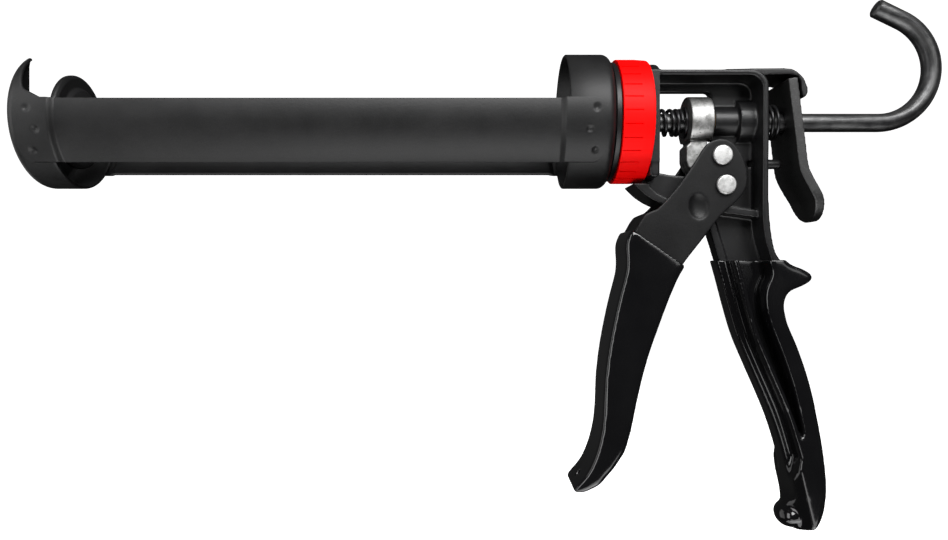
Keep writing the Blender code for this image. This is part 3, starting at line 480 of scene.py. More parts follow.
class Bench:
    """Hand modelling of one mesh at a time."""

    @staticmethod
    def clear() -> None:
        """Leaves edit mode with nothing selected."""
        if bpy.context.mode != "OBJECT":
            bpy.ops.object.mode_set(mode="OBJECT")
        bpy.ops.object.select_all(action="DESELECT")

    @staticmethod
    def hold(obj: Mesh) -> Mesh:
        """Makes the object the only one selected."""
        Bench.clear()
        obj.select_set(True)
        bpy.context.view_layer.objects.active = obj
        return obj

    @staticmethod
    def chain(name: str, points: Sequence[Vector], closed: bool) -> Mesh:
        """A line of edges drawn by extruding one vertex, left in edit mode with all of it selected.

        Args:
            name: The new object's name.
            points: The line's points in order.
            closed: Whether the last point joins the first.

        Returns:
            The object.
        """
        Bench.clear()
        bpy.ops.mesh.primitive_plane_add(size=MM, location=points[0])
        obj = bpy.context.object
        obj.name = name
        bpy.ops.object.mode_set(mode="EDIT")
        bpy.context.tool_settings.mesh_select_mode = (True, False, False)
        bpy.ops.mesh.merge(type="CENTER")
        for before, after in zip(points, points[1:]):
            step = Vector(after) - Vector(before)
            bpy.ops.mesh.extrude_vertices_move(TRANSFORM_OT_translate={"value": step})
        if closed:
            shape = bmesh.from_edit_mesh(obj.data)
            shape.verts.ensure_lookup_table()
            for vertex in (shape.verts[0], shape.verts[-1]):
                vertex.select_set(True)
            bmesh.update_edit_mesh(obj.data)
            bpy.ops.mesh.edge_face_add()
        bpy.ops.mesh.select_all(action="SELECT")
        return obj

    @staticmethod
    def close_up(obj: Mesh) -> Mesh:
        """Merges doubles, turns faces outwards and puts the place into the mesh."""
        bpy.ops.mesh.select_all(action="SELECT")
        bpy.ops.mesh.remove_doubles(threshold=1e-6)
        bpy.ops.mesh.normals_make_consistent(inside=False)
        bpy.ops.object.mode_set(mode="OBJECT")
        bpy.ops.object.transform_apply(location=True, rotation=True, scale=True)
        return obj

    @staticmethod
    def spun(
        name: str,
        profile: Sequence[Point],
        steps: int = 96,
        centre: Sequence[float] = (0.0, 0.0, 0.0),
        along_y: bool = False,
    ) -> Mesh:
        """A turned piece.

        Args:
            name: Its name.
            profile: A closed half section of (place on the axis, radius) points.
            steps: Faces round it.
            centre: A point on its axis.
            along_y: True for an axis along Y instead of X.

        Returns:
            The closed mesh object.
        """
        middle = Vector(centre)
        if along_y:
            points = [middle + Vector((radius, place, 0.0)) for place, radius in profile]
        else:
            points = [middle + Vector((place, 0.0, radius)) for place, radius in profile]
        on_axis = profile[0][1] < 1e-9 and profile[-1][1] < 1e-9
        obj = Bench.chain(name, points, closed=not on_axis)
        axis = (0.0, 1.0, 0.0) if along_y else (1.0, 0.0, 0.0)
        bpy.ops.mesh.spin(steps=steps, angle=2 * math.pi, center=middle, axis=axis)
        return Bench.close_up(obj)

    @staticmethod
    def prism(name: str, outline: Sequence[Point], low: float, high: float, along: str = "Y") -> Mesh:
        """A flat outline given thickness.

        Args:
            name: Its name.
            outline: Points across the thickness: (x, z) along Y, (y, z) along X, (x, y) along Z.
            low: Where the thickness starts.
            high: Where it ends.
            along: The axis of the thickness, X, Y or Z.

        Returns:
            The closed mesh object.
        """
        axis = "XYZ".index(along)
        points = [Vector((*point[:axis], low, *point[axis:])) for point in outline]
        step = Vector([(high - low) * (axis == i) for i in range(3)])
        obj = Bench.chain(name, points, closed=True)
        bpy.ops.mesh.edge_face_add()
        bpy.ops.mesh.extrude_region_move(TRANSFORM_OT_translate={"value": step})
        return Bench.close_up(obj)

    @staticmethod
    def slab(name: str, middle: Sequence[float], first: Sequence[float], second: Sequence[float],
             reach: float) -> Mesh:
        """A slanted cutter whose lower face is spanned by two directions.

        Args:
            name: Its name.
            middle: The middle of that face.
            first: One direction in the face.
            second: The other, square to the first; the cutter lies towards the smaller X.
            reach: Half the face's sides, and the cutter's thickness.

        Returns:
            The closed mesh object.
        """
        one, two = Vector(first).normalized(), Vector(second).normalized()
        away = one.cross(two)
        away = away if away.x < 0 else -away
        corners = [Vector(middle) + one * (reach * a) + two * (reach * b)
                   for a, b in ((-1, -1), (1, -1), (1, 1), (-1, 1))]
        obj = Bench.chain(name, corners, closed=True)
        bpy.ops.mesh.edge_face_add()
        bpy.ops.mesh.extrude_region_move(TRANSFORM_OT_translate={"value": away * reach})
        return Bench.close_up(obj)

    @staticmethod
    def block(name: str, low: Sequence[float], high: Sequence[float]) -> Mesh:
        """A squared cutter between two corners."""
        Bench.clear()
        low, high = Vector(low), Vector(high)
        bpy.ops.mesh.primitive_cube_add(size=1.0, location=(low + high) / 2)
        obj = bpy.context.object
        obj.name = name
        bpy.ops.transform.resize(value=high - low)
        bpy.ops.object.transform_apply(location=True, rotation=True, scale=True)
        return obj

    @staticmethod
    def ball(name: str, centre: Sequence[float], radii: Sequence[float], tilt: float = 0.0) -> Mesh:
        """A stretched ball used as a cutter, tilted about Y."""
        Bench.clear()
        bpy.ops.mesh.primitive_uv_sphere_add(segments=48, ring_count=24, radius=1.0, location=centre)
        obj = bpy.context.object
        obj.name = name
        bpy.ops.transform.resize(value=radii)
        obj.rotation_euler = (0.0, tilt, 0.0)
        bpy.ops.object.transform_apply(location=True, rotation=True, scale=True)
        return obj

    @staticmethod
    def modify(obj: Mesh, kind: str, **settings: Any) -> Mesh:
        """Adds a modifier, sets it and applies it."""
        Bench.hold(obj)
        bpy.ops.object.modifier_add(type=kind)
        modifier = obj.modifiers[-1]
        for key, value in settings.items():
            setattr(modifier, key, value)
        bpy.ops.object.modifier_apply(modifier=modifier.name)
        return obj

    @staticmethod
    def carve(obj: Mesh, cutter: Mesh, operation: str = "DIFFERENCE") -> Mesh:
        """Cuts, joins or keeps what a cutter covers, and puts the cutter away."""
        Bench.modify(obj, "BOOLEAN", operation=operation, solver="MANIFOLD", object=cutter)
        bpy.data.objects.remove(cutter)
        return obj

    @staticmethod
    def remesh(obj: Mesh, voxel: float, passes: int = 4) -> Mesh:
        """An even fine mesh with its edges softened by smoothing passes."""
        Bench.modify(obj, "REMESH", mode="VOXEL", voxel_size=voxel)
        return Bench.modify(obj, "SMOOTH", iterations=passes, factor=0.5)

    @staticmethod
    def grown(coat: Mesh, core: Mesh, overlap: float) -> Mesh:
        """One solid of a coat and the core inside it, which is swollen until the two overlap.

        Args:
            coat: The coat.
            core: What it covers.
            overlap: How far the core is swollen.

        Returns:
            The merged mesh object.
        """
        Bench.remesh(core, 0.5 * MM, 2)
        Bench.modify(core, "DISPLACE", strength=overlap, mid_level=0.0)
        Bench.clear()
        core.select_set(True)
        coat.select_set(True)
        bpy.context.view_layer.objects.active = coat
        bpy.ops.object.join()
        Bench.modify(coat, "REMESH", mode="VOXEL", voxel_size=0.5 * MM)
        return coat

    @staticmethod
    def copy_of(node: str, name: str) -> Mesh:
        """A merged copy of a CAD node's mesh as a new object."""
        Bench.clear()
        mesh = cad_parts[node].data.copy()
        obj = bpy.data.objects.new(name, mesh)
        bpy.context.scene.collection.objects.link(obj)
        Bench.hold(obj)
        bpy.ops.object.mode_set(mode="EDIT")
        bpy.ops.mesh.select_all(action="SELECT")
        bpy.ops.mesh.remove_doubles(threshold=1e-6)
        bpy.ops.object.mode_set(mode="OBJECT")
        return obj

    @staticmethod
    def wire(name: str, points: Sequence[Sequence[float]], radius: float) -> Mesh:
        """A round wire along a path, as a mesh."""
        Bench.clear()
        curve = bpy.data.curves.new(name, "CURVE")
        curve.dimensions = "3D"
        curve.bevel_depth = radius
        curve.bevel_resolution = 6
        curve.use_fill_caps = True
        spline = curve.splines.new("POLY")
        spline.points.add(len(points) - 1)
        for knot, place in zip(spline.points, points):
            knot.co = (*place, 1.0)
        obj = bpy.data.objects.new(name, curve)
        bpy.context.scene.collection.objects.link(obj)
        Bench.hold(obj)
        bpy.ops.object.convert(target="MESH")
        obj = bpy.context.object
        bpy.ops.object.mode_set(mode="EDIT")
        return Bench.close_up(obj)

    @staticmethod
    def smooth(obj: Mesh, angle: float = 40.0) -> Mesh:
        """Smooth shading up to an angle in degrees."""
        Bench.hold(obj)
        bpy.ops.object.shade_smooth_by_angle(angle=math.radians(angle))
        return obj


class Piece:
    """Files finished meshes with their body, finish and CAD node."""

    @staticmethod
    def file(
        obj: Mesh,
        node: str,
        body: Body,
        slot: Slot,
        material: Material,
        angle: float = 40.0,
    ) -> Mesh:
        """Gives a piece its finish and its place in the assembly.

        Args:
            obj: The finished mesh object.
            node: The CAD node that it stands for.
            body: The body that it rides on.
            slot: The record's finish slot; not used.
            material: Its finish.
            angle: The edge angle in degrees above which an edge stays sharp.

        Returns:
            The piece.
        """
        Bench.smooth(obj, angle)
        obj.name = f"{node}_piece"
        obj.data.materials.clear()
        obj.data.materials.append(material)
        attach(obj, body.value)
        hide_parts(node)
        LOG.info("%s: %d faces", obj.name, len(obj.data.polygons))
        return obj


# ---- the assembly ----


@dataclass
class Cradle:
    """Two pressed cups joined by two curved straps."""

    finishes: Finishes
    sheet: float = 1.4 * MM
    corner: float = 3.6 * MM
    slot_half: float = 13.0 * MM
    strap_wall: float = 1.3 * MM
    strap_corner: float = 4.5 * MM
    joggle_start: float = 1.4 * MM
    joggle_length: float = 2.6 * MM
    clinch_angles: tuple[float, ...] = (0.2, -16.0, -32.3)
    clinch_insets: tuple[float, float] = (5.7 * MM, 4.1 * MM)
    clinch_stagger: float = 2.6 * MM
    clinch_depth: float = 0.6 * MM
    clinch_reach: float = 1.9 * MM
    plate_bore: float = 5.0 * MM
    mouth: tuple[Point, ...] = ((3.9, 8.2), (3.0, 9.3), (1.9, 12.6), (1.2, 15.5), (0.6, 18.4), (-0.1, 23.0))
    horn_side: float = 16.6 * MM
    horn_height: float = 21.2 * MM
    horn_radius: float = 3.1 * MM
    above: float = 40 * MM

    def cup_profile(self, back: float, rim: float, bore: float, radius: float) -> list[Point]:
        """The half section of a pressed cup.

        Args:
            back: Outer face of its closed end.
            rim: Its open edge.
            bore: Radius of the hole in the closed end.
            radius: Outer radius.

        Returns:
            A closed outline of (place, radius) points.
        """
        way = 1.0 if rim > back else -1.0
        lip = 0.35 * self.sheet
        centre = (back + way * self.corner, radius - self.corner)
        inner = self.corner - self.sheet
        outside = [(centre[0] - way * self.corner * math.cos(a), centre[1] + self.corner * math.sin(a))
                   for a in quarter(10)]
        inside = [(centre[0] - way * inner * math.cos(a), centre[1] + inner * math.sin(a))
                  for a in reversed(quarter(8))]
        edge = [(rim - way * lip, radius), (rim, radius - lip), (rim, radius - self.sheet + lip),
                (rim - way * lip, radius - self.sheet)]
        bore_edge = [(back + way * self.sheet, bore + lip), (back + way * (self.sheet - lip), bore),
                     (back + way * lip, bore), (back, bore + lip)]
        return outside + edge + inside + bore_edge

    def front_cup(self) -> None:
        """The slotted front plate with its horned rim."""
        low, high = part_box("front_cup")
        obj = Bench.spun("front cup", self.cup_profile(low.x, high.x, self.plate_bore, high.y), 144)
        u_slot = arc((0.0, 0.0), self.slot_half, 180, 360, 40)
        u_slot += [(self.slot_half, 50 * MM), (-self.slot_half, 50 * MM)]
        Bench.carve(obj, Bench.prism("slot", u_slot, low.x - 20 * MM, low.x + 20 * MM, along="X"))
        top, lip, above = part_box("left_strap")[1].z, low.x + self.corner, self.above
        opening = [(high.x + 2 * MM, top), (high.x - 2.3 * MM, top + 0.5 * MM)]
        opening += [(lip + x, z) for x, z in in_mm(self.mouth)]
        opening += [(lip + self.mouth[-1][0] * MM, above), (high.x + 2 * MM, above)]
        Bench.carve(obj, Bench.prism("opening", opening, -above, above))
        for side in (-1, 1):
            centre = (side * self.horn_side, self.horn_height)
            tip = arc(centre, self.horn_radius, 90 - side * 110, 90 + side * 75, 14)
            tip += [(side * 5 * MM, above), (side * above, above), (side * above, above / 2)]
            Bench.carve(obj, Bench.prism("horn tip", tip, low.x - MM, high.x, along="X"))
        Bench.remesh(obj, 0.42 * MM, 5)
        Piece.file(obj, "front_cup", Body.CRADLE, Slot.POWDER, self.finishes.powder, 60)

    def rear_cup(self) -> None:
        """The deep rear cup."""
        low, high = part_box("rear_cup")
        obj = Bench.spun("rear cup", self.cup_profile(high.x, low.x, TurningJoint.bore(), high.y), 160)
        Piece.file(obj, "rear_cup", Body.CRADLE, Slot.POWDER, self.finishes.powder, 50)

    def strap(self, node: str, side: int) -> None:
        """One strap, lapped over both cups.

        Args:
            node: Its CAD node.
            side: -1 for the near side, 1 for the far side.
        """
        low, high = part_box(node)
        front_rim, rear_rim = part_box("front_cup")[1].x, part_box("rear_cup")[0].x
        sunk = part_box("rear_cup")[1].y
        outer = sunk + GAP + self.strap_wall
        first, last = front_rim + self.joggle_start, rear_rim - self.joggle_start
        joggle, margin, fine, coarse = self.joggle_length, MM, 0.34 * MM, 12 * MM

        def run(start: float, end: float, step: float) -> list[float]:
            """Evenly spaced places."""
            count = max(1, round((end - start) / step))
            return [start + (end - start) * i / count for i in range(count)]

        def height(place: float) -> float:
            """Outer radius at a place along the strap."""
            for rim, way in ((first, 1.0), (last, -1.0)):
                share = (place - rim) * way / joggle
                if 0.0 < share < 1.0:
                    return outer + (sunk - outer) * (3 * share ** 2 - 2 * share ** 3)
            return outer if place <= first or place >= last else sunk

        places = run(low.x - margin, first, fine) + run(first, first + joggle, 0.2 * MM)
        places += run(first + joggle, last - joggle, coarse) + run(last - joggle, last, 0.2 * MM)
        places += run(last, high.x + margin, fine) + [high.x + margin]
        angles = [math.asin(z / outer) for z in (low.z - margin, high.z + margin)]
        begin = [Vector((x, side * height(x) * math.cos(angles[0]), height(x) * math.sin(angles[0])))
                 for x in places]
        obj = Bench.chain(node, begin, closed=False)
        bpy.ops.mesh.spin(steps=76, angle=angles[1] - angles[0], center=(0, 0, 0), axis=(-side, 0, 0))
        Bench.close_up(obj)
        Bench.hold(obj)
        bpy.ops.object.mode_set(mode="EDIT")
        for end, way, inset in ((low.x, 1, self.clinch_insets[0]), (high.x, -1, self.clinch_insets[1])):
            for number, angle in enumerate(self.clinch_angles):
                place = end + way * (inset + (number == 1) * self.clinch_stagger)
                lean = math.radians(angle)
                out = Vector((0.0, side * math.cos(lean), math.sin(lean)))
                centre = out * outer + Vector((place, 0.0, 0.0))
                shape = bmesh.from_edit_mesh(obj.data)
                for vertex in shape.verts:
                    vertex.select_set((vertex.co - centre).length < 0.3 * MM)
                shape.select_flush(True)
                bmesh.update_edit_mesh(obj.data)
                bpy.ops.transform.translate(
                    value=out * -self.clinch_depth, use_proportional_edit=True,
                    proportional_edit_falloff="SMOOTH", proportional_size=self.clinch_reach)
        shape = bmesh.from_edit_mesh(obj.data)
        shape.faces.ensure_lookup_table()
        face = shape.faces[len(shape.faces) // 2]
        middle = face.calc_center_median()
        inwards = face.normal.dot(Vector((0.0, middle.y, middle.z))) < 0
        bpy.ops.mesh.select_all(action="SELECT")
        if inwards:
            bpy.ops.mesh.flip_normals()
        bpy.ops.object.mode_set(mode="OBJECT")
        Bench.modify(obj, "SOLIDIFY", thickness=self.strap_wall, offset=-1.0, use_even_offset=True)
        r = self.strap_corner
        left, right, bottom, top = low.x + r, high.x - r, low.z + r, high.z - r
        outline: list[Point] = []
        for i, corner in enumerate(((right, top), (left, top), (left, bottom), (right, bottom))):
            outline += arc(corner, r, 90 * i, 90 * i + 90, 14)
        reach = sorted((side * 12 * MM, side * 40 * MM))
        Bench.carve(obj, Bench.prism("strap outline", outline, reach[0], reach[1]), "INTERSECT")
        Bench.modify(obj, "BEVEL", width=0.22 * MM, segments=2, limit_method="ANGLE",
                     angle_limit=math.radians(50), use_clamp_overlap=True)
        Piece.file(obj, node, Body.CRADLE, Slot.POWDER, self.finishes.powder, 35)

    def build(self) -> None:
        """Makes the cradle."""
        self.front_cup()
        self.rear_cup()
        self.strap("left_strap", -1)
        self.strap("right_strap", 1)


@dataclass
class TurningJoint:
    """Everything on the hollow spindle between the cradle and the frame's head."""

    finishes: Finishes
    grooves: int = 30
    faces: int = 9  # from one groove to the next
    band: float = 4.9 * MM
    crown: float = 0.35 * MM
    groove_depth: float = 0.55 * MM
    wall: float = 3.0 * MM
    web: float = 3.5 * MM

    @staticmethod
    def rod_radius() -> float:
        """Radius of the push rod."""
        return -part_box("push_rod")[0].z

    @staticmethod
    def bore() -> float:
        """Radius of what turns on the spindle."""
        bush, spindle = 1.2 * MM, 2.0 * MM
        return TurningJoint.rod_radius() + GAP + bush + GAP + spindle + GAP

    def ring(self, node: str, inner: float, body: Body, slot: Slot, material: Material,
             fillet: float = 0.25 * MM) -> None:
        """A plain turned ring in a CAD node's place."""
        low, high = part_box(node)
        section = [(low.x, inner), (low.x, high.y), (high.x, high.y), (high.x, inner)]
        Piece.file(Bench.spun(node, filleted(section, fillet), 96), node, body, slot, material)

    def collar(self) -> None:
        """The red grip collar, with grooves pressed in all round."""
        low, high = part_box("grip_collar")
        radius, bore = -low.z, self.bore()
        hub, hub_end = bore + 2.6 * MM, high.x - 2.2 * MM
        inner = radius - self.wall
        start, end = low.x + 0.5 * MM, high.x - self.band
        section = filleted([
            (low.x, bore), (low.x, radius), (high.x - self.band, radius), (high.x, radius - self.crown),
            (high.x, inner), (low.x + self.web, inner), (low.x + self.web, hub), (hub_end, hub),
            (hub_end, bore),
        ], 0.45 * MM, 5)
        obj = Bench.spun("collar", section, self.grooves * self.faces)
        Bench.hold(obj)
        bpy.ops.object.mode_set(mode="EDIT")
        bpy.context.tool_settings.mesh_select_mode = (False, False, True)
        bpy.ops.mesh.select_all(action="DESELECT")
        pitch, faces = 2 * math.pi / self.grooves, self.faces
        shape = bmesh.from_edit_mesh(obj.data)
        for face in shape.faces:
            centre = face.calc_center_median()
            turn = math.atan2(centre.z, -centre.y) / pitch
            near = abs(turn - round(turn)) < 0.5 / faces
            long = face.calc_area() > 0.6 * (end - start) * radius * pitch / faces
            outside = Vector((0.0, centre.y, centre.z)).length > radius - 0.1 * MM
            face.select_set(near and long and outside and start - MM < centre.x < end)
        bmesh.update_edit_mesh(obj.data)
        bpy.ops.mesh.inset(thickness=0.10 * MM, use_boundary=True)
        bpy.ops.transform.shrink_fatten(value=-self.groove_depth)
        bpy.ops.object.mode_set(mode="OBJECT")
        Piece.file(obj, "grip_collar", Body.CRADLE, Slot.COLLAR, self.finishes.red, 28)

    def spindle(self) -> None:
        """The hollow spindle with its turned head."""
        low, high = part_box("head_spindle")
        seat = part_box("spindle_washer")[0].x - GAP
        bore, shank = self.bore() - 2.3 * MM, self.bore() - GAP
        section = [(low.x, bore), (low.x, high.y), (seat, high.y), (seat, shank), (high.x, shank),
                   (high.x, bore)]
        obj = Bench.spun("spindle", filleted(section, 0.6 * MM), 96)
        for turn in range(3):
            slot = Bench.block("spanner slot", (low.x - MM, -15 * MM, -1.2 * MM),
                               (low.x + 1.1 * MM, 15 * MM, 1.2 * MM))
            slot.rotation_euler = (math.radians(60 * turn + 30), 0.0, 0.0)
            Bench.hold(slot)
            bpy.ops.object.transform_apply(location=True, rotation=True, scale=True)
            Bench.carve(obj, slot)
        Piece.file(obj, "head_spindle", Body.FRAME, Slot.DARK, self.finishes.steel)

    def build(self) -> None:
        """Makes the joint."""
        self.collar()
        self.spindle()
        looks = self.finishes
        self.ring("thrust_washer", self.bore(), Body.CRADLE, Slot.CASTING, looks.casting, 0.4 * MM)
        self.ring("spindle_washer", self.bore(), Body.FRAME, Slot.ZINC, looks.plate)
        self.ring("wave_washer", self.bore(), Body.CRADLE, Slot.ZINC, looks.plate)
        for bush in ("front_rod_bush", "rear_rod_bush"):
            self.ring(bush, self.rod_radius() + GAP, Body.FRAME, Slot.BRONZE, looks.bronze)


@dataclass
class RodAndPlunger:
    """The hooked push rod and the piston on its front end."""

    finishes: Finishes
    stud_radius: float = 2.9 * MM
    hook_start: float = 102.2 * MM
    hook_radius: float = 23.5 * MM
    hook_turn: float = math.radians(154)
    hook_tip: float = 12.5 * MM
    shoulder: float = -239.0 * MM
    chamfer: float = 0.7 * MM

    def rod(self) -> None:
        """A bar extruded along the barrel, spun round its hook and chamfered."""
        radius = TurningJoint.rod_radius()
        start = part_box("push_rod")[0].x
        Bench.clear()
        bpy.ops.mesh.primitive_circle_add(
            vertices=64, radius=self.stud_radius, fill_type="NGON", location=(start, 0, 0),
            rotation=(0, math.pi / 2, 0))
        obj = bpy.context.object
        obj.name = "push rod"
        bpy.ops.object.transform_apply(location=True, rotation=True, scale=True)
        bpy.ops.object.mode_set(mode="EDIT")
        bpy.ops.mesh.select_all(action="SELECT")

        def onwards(distance: float, ratio: float = 1.0) -> None:
            """Extrudes the end of the bar along X and scales it."""
            bpy.ops.mesh.extrude_region_move(TRANSFORM_OT_translate={"value": (distance, 0, 0)})
            if ratio != 1.0:
                bpy.ops.transform.resize(value=(1, ratio, ratio))

        onwards(self.shoulder - start)
        onwards(0.0, (radius - self.chamfer) / self.stud_radius)
        onwards(self.chamfer, radius / (radius - self.chamfer))
        length = self.hook_start - self.shoulder - self.chamfer
        for _ in range(12):
            onwards(length / 12)
        bpy.ops.mesh.spin(steps=72, angle=self.hook_turn, center=(self.hook_start, 0, self.hook_radius),
                          axis=(0, 1, 0))
        way = Vector((math.cos(self.hook_turn), 0.0, math.sin(self.hook_turn)))
        for distance in (self.hook_tip - self.chamfer, self.chamfer):
            bpy.ops.mesh.extrude_region_move(TRANSFORM_OT_translate={"value": way * distance})
        shrink = (radius - self.chamfer) / radius
        bpy.ops.transform.resize(value=(shrink, shrink, shrink))
        bpy.ops.mesh.inset(thickness=1.0 * MM)
        Bench.close_up(obj)
        self.unbend(obj)
        Piece.file(obj, "push_rod", Body.ROD, Slot.DARK, self.finishes.bar, 30)

    def unbend(self, obj: Mesh) -> None:
        """Stores each vertex's place on the straight bar, for grain that follows the hook."""
        attribute = obj.data.attributes.new("unbent", "FLOAT_VECTOR", "POINT")
        for vertex, stored in zip(obj.data.vertices, attribute.data):
            x, y, z = vertex.co
            if x > self.hook_start - 1e-6 or z > self.hook_radius:
                away = Vector((x - self.hook_start, z - self.hook_radius))
                turn = math.atan2(away.x, -away.y) % (2 * math.pi)
                turn = min(turn, self.hook_turn + 0.6)
                along = self.hook_start + self.hook_radius * turn
                stored.vector = (along, y, self.hook_radius - away.length)
            else:
                stored.vector = (x, y, z)

    def disc(self, bore: float) -> None:
        """The piston's disc, with a pressed dome behind."""
        low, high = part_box("plunger_disc")
        radius, rear, front = high.y, high.x, low.x
        face, flat = front + 1.6 * MM, rear - 0.2 * MM
        section = [
            (face, bore), (face, radius - 3.6 * MM), (front, radius - 1.6 * MM), (front, radius),
            (rear - 1.2 * MM, radius), (flat, radius - 1.4 * MM), (flat, 14.9 * MM),
            (rear + 1.5 * MM, 13.4 * MM), (rear + 2.5 * MM, 10.6 * MM), (rear + 2.7 * MM, 8.3 * MM),
            (rear, 8.3 * MM), (rear, bore),
        ]
        obj = Bench.spun("disc", filleted(section, 1.1 * MM, 5), 128)
        Piece.file(obj, "plunger_disc", Body.PLUNGER, Slot.POWDER, self.finishes.powder)

    def hub(self, bore: float) -> None:
        """The hub behind the disc."""
        low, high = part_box("plunger_hub")
        section = [(low.x, bore), (low.x, high.y), (low.x + 1.2 * MM, high.y), (high.x, high.y - 2.2 * MM),
                   (high.x, bore)]
        obj = Bench.spun("hub", filleted(section, 0.5 * MM), 96)
        Piece.file(obj, "plunger_hub", Body.PLUNGER, Slot.POWDER, self.finishes.powder)

    def nut(self, bore: float) -> None:
        """The chamfered nut in front of the disc."""
        low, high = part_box("plunger_nut")
        radius = max(high.y, high.z)
        flat = radius * math.cos(math.pi / 6)
        section = [(low.x, bore), (low.x, flat), (low.x + 0.8 * MM, radius), (high.x - 0.3 * MM, radius),
                   (high.x, flat), (high.x, bore)]
        obj = Bench.spun("nut", section, 96)
        corners = arc((0.0, 0.0), radius * 1.001, 30, 330, 5)
        Bench.carve(obj, Bench.prism("hexagon", corners, low.x - MM, high.x + MM, along="X"), "INTERSECT")
        Piece.file(obj, "plunger_nut", Body.PLUNGER, Slot.ZINC, self.finishes.zinc, 25)

    def build(self) -> None:
        """Makes the rod and the piston."""
        self.rod()
        bore = self.stud_radius + GAP
        self.disc(bore)
        self.hub(bore)
        self.nut(bore)


@dataclass
class Casting:
    """The pistol frame and the vinyl dip on its handle."""

    finishes: Finishes
    dip: float = -58.7 * MM
    voxel: float = 0.5 * MM
    overlap: float = 0.45 * MM
    far: float = 0.3
    pocket_end: float = -132 * MM
    chamfer_middle: Point = (57.5 * MM, -148 * MM)
    chamfer_half: float = 4.0 * MM
    front_slope: Triple = (9.4, 0.0, -37.8)
    pin_end: Point = (1.6 * MM, 1.2 * MM)  # length and depth of its rounding
    toe: tuple[Point, ...] = ((40.0, -161.5), (61.0, -161.5), (62.5, -168.0), (65.0, -176.0), (68.0, -180.0),
                              (40.0, -180.0))
    spur: tuple[Point, ...] = ((58.6, -58.2), (61.2, -60.8), (64.4, -63.5), (69.0, -64.0), (69.0, -80.0),
                               (90.0, -80.0), (90.0, -50.0), (58.6, -50.0))

    def frame(self) -> None:
        """The casting above and just inside the dip."""
        obj = Bench.copy_of("handle_frame", "casting")
        far = self.far
        Bench.carve(obj, Bench.block("hidden", (-far, -far, -far), (far, far, self.dip - 5 * MM)))
        Bench.remesh(obj, self.voxel, 3)
        Piece.file(obj, "handle_frame", Body.FRAME, Slot.CASTING, self.finishes.casting, 70)

    def grip(self) -> None:
        """The thick coat: the dipped shape joined to the casting that it covers."""
        far = self.far
        coat = Bench.copy_of("handle_grip", "handle coat")
        core = Bench.copy_of("handle_frame", "handle core")
        Bench.carve(core, Bench.block("bare", (-far, -far, self.dip + 4 * MM), (far, far, far)))
        obj = Bench.grown(coat, core, self.overlap)
        Bench.carve(obj, Bench.prism("toe", in_mm(self.toe), -30 * MM, 30 * MM))
        for side in (-1, 1):
            x, z = self.chamfer_middle
            front = Bench.slab("front chamfer", (x, side * self.chamfer_half, z), self.front_slope,
                               (7.0, side * 13.0, 0.0), 32 * MM)
            Bench.carve(front, Bench.block("pocket", (-far, -far, self.pocket_end), (far, far, far)))
            Bench.carve(obj, front)
        toe_end = Bench.ball("toe end", (63.2 * MM, 0.0, -169.5 * MM), (5.2 * MM, 8.5 * MM, 5.4 * MM))
        Bench.carve(obj, toe_end, "UNION")
        Bench.carve(obj, Bench.prism("spur", in_mm(self.spur), -30 * MM, 30 * MM))
        spur_end = Bench.ball("spur end", (68.0 * MM, 0.0, -67.3 * MM), (3.6 * MM, 5.4 * MM, 3.6 * MM))
        Bench.carve(obj, spur_end, "UNION")
        Bench.modify(obj, "REMESH", mode="VOXEL", voxel_size=self.voxel)
        Bench.modify(obj, "SMOOTH", iterations=26, factor=0.6)
        Bench.carve(obj, Bench.block("above", (-far, -far, self.dip - 1.0 * MM), (far, far, far)))
        Bench.remesh(obj, self.voxel, 2)
        Piece.file(obj, "handle_grip", Body.FRAME, Slot.VINYL, self.finishes.vinyl, 80)

    def stop_pin(self) -> None:
        """The peg that stops the release lever."""
        low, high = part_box("stop_pin")
        radius, middle = high.y, (low.z + high.z) / 2
        shoulder = high.x - self.pin_end[0]
        section = [(low.x, 0.0), (low.x, radius)]
        section += [(shoulder + self.pin_end[0] * math.sin(a), radius - self.pin_end[1] * (1 - math.cos(a)))
                    for a in quarter(6)] + [(high.x, 0.0)]
        obj = Bench.spun("stop pin", section, 48, centre=(0.0, 0.0, middle))
        Piece.file(obj, "stop_pin", Body.FRAME, Slot.CASTING, self.finishes.casting)

    def build(self) -> None:
        """Makes the frame's pieces."""
        self.frame()
        self.grip()
        self.stop_pin()


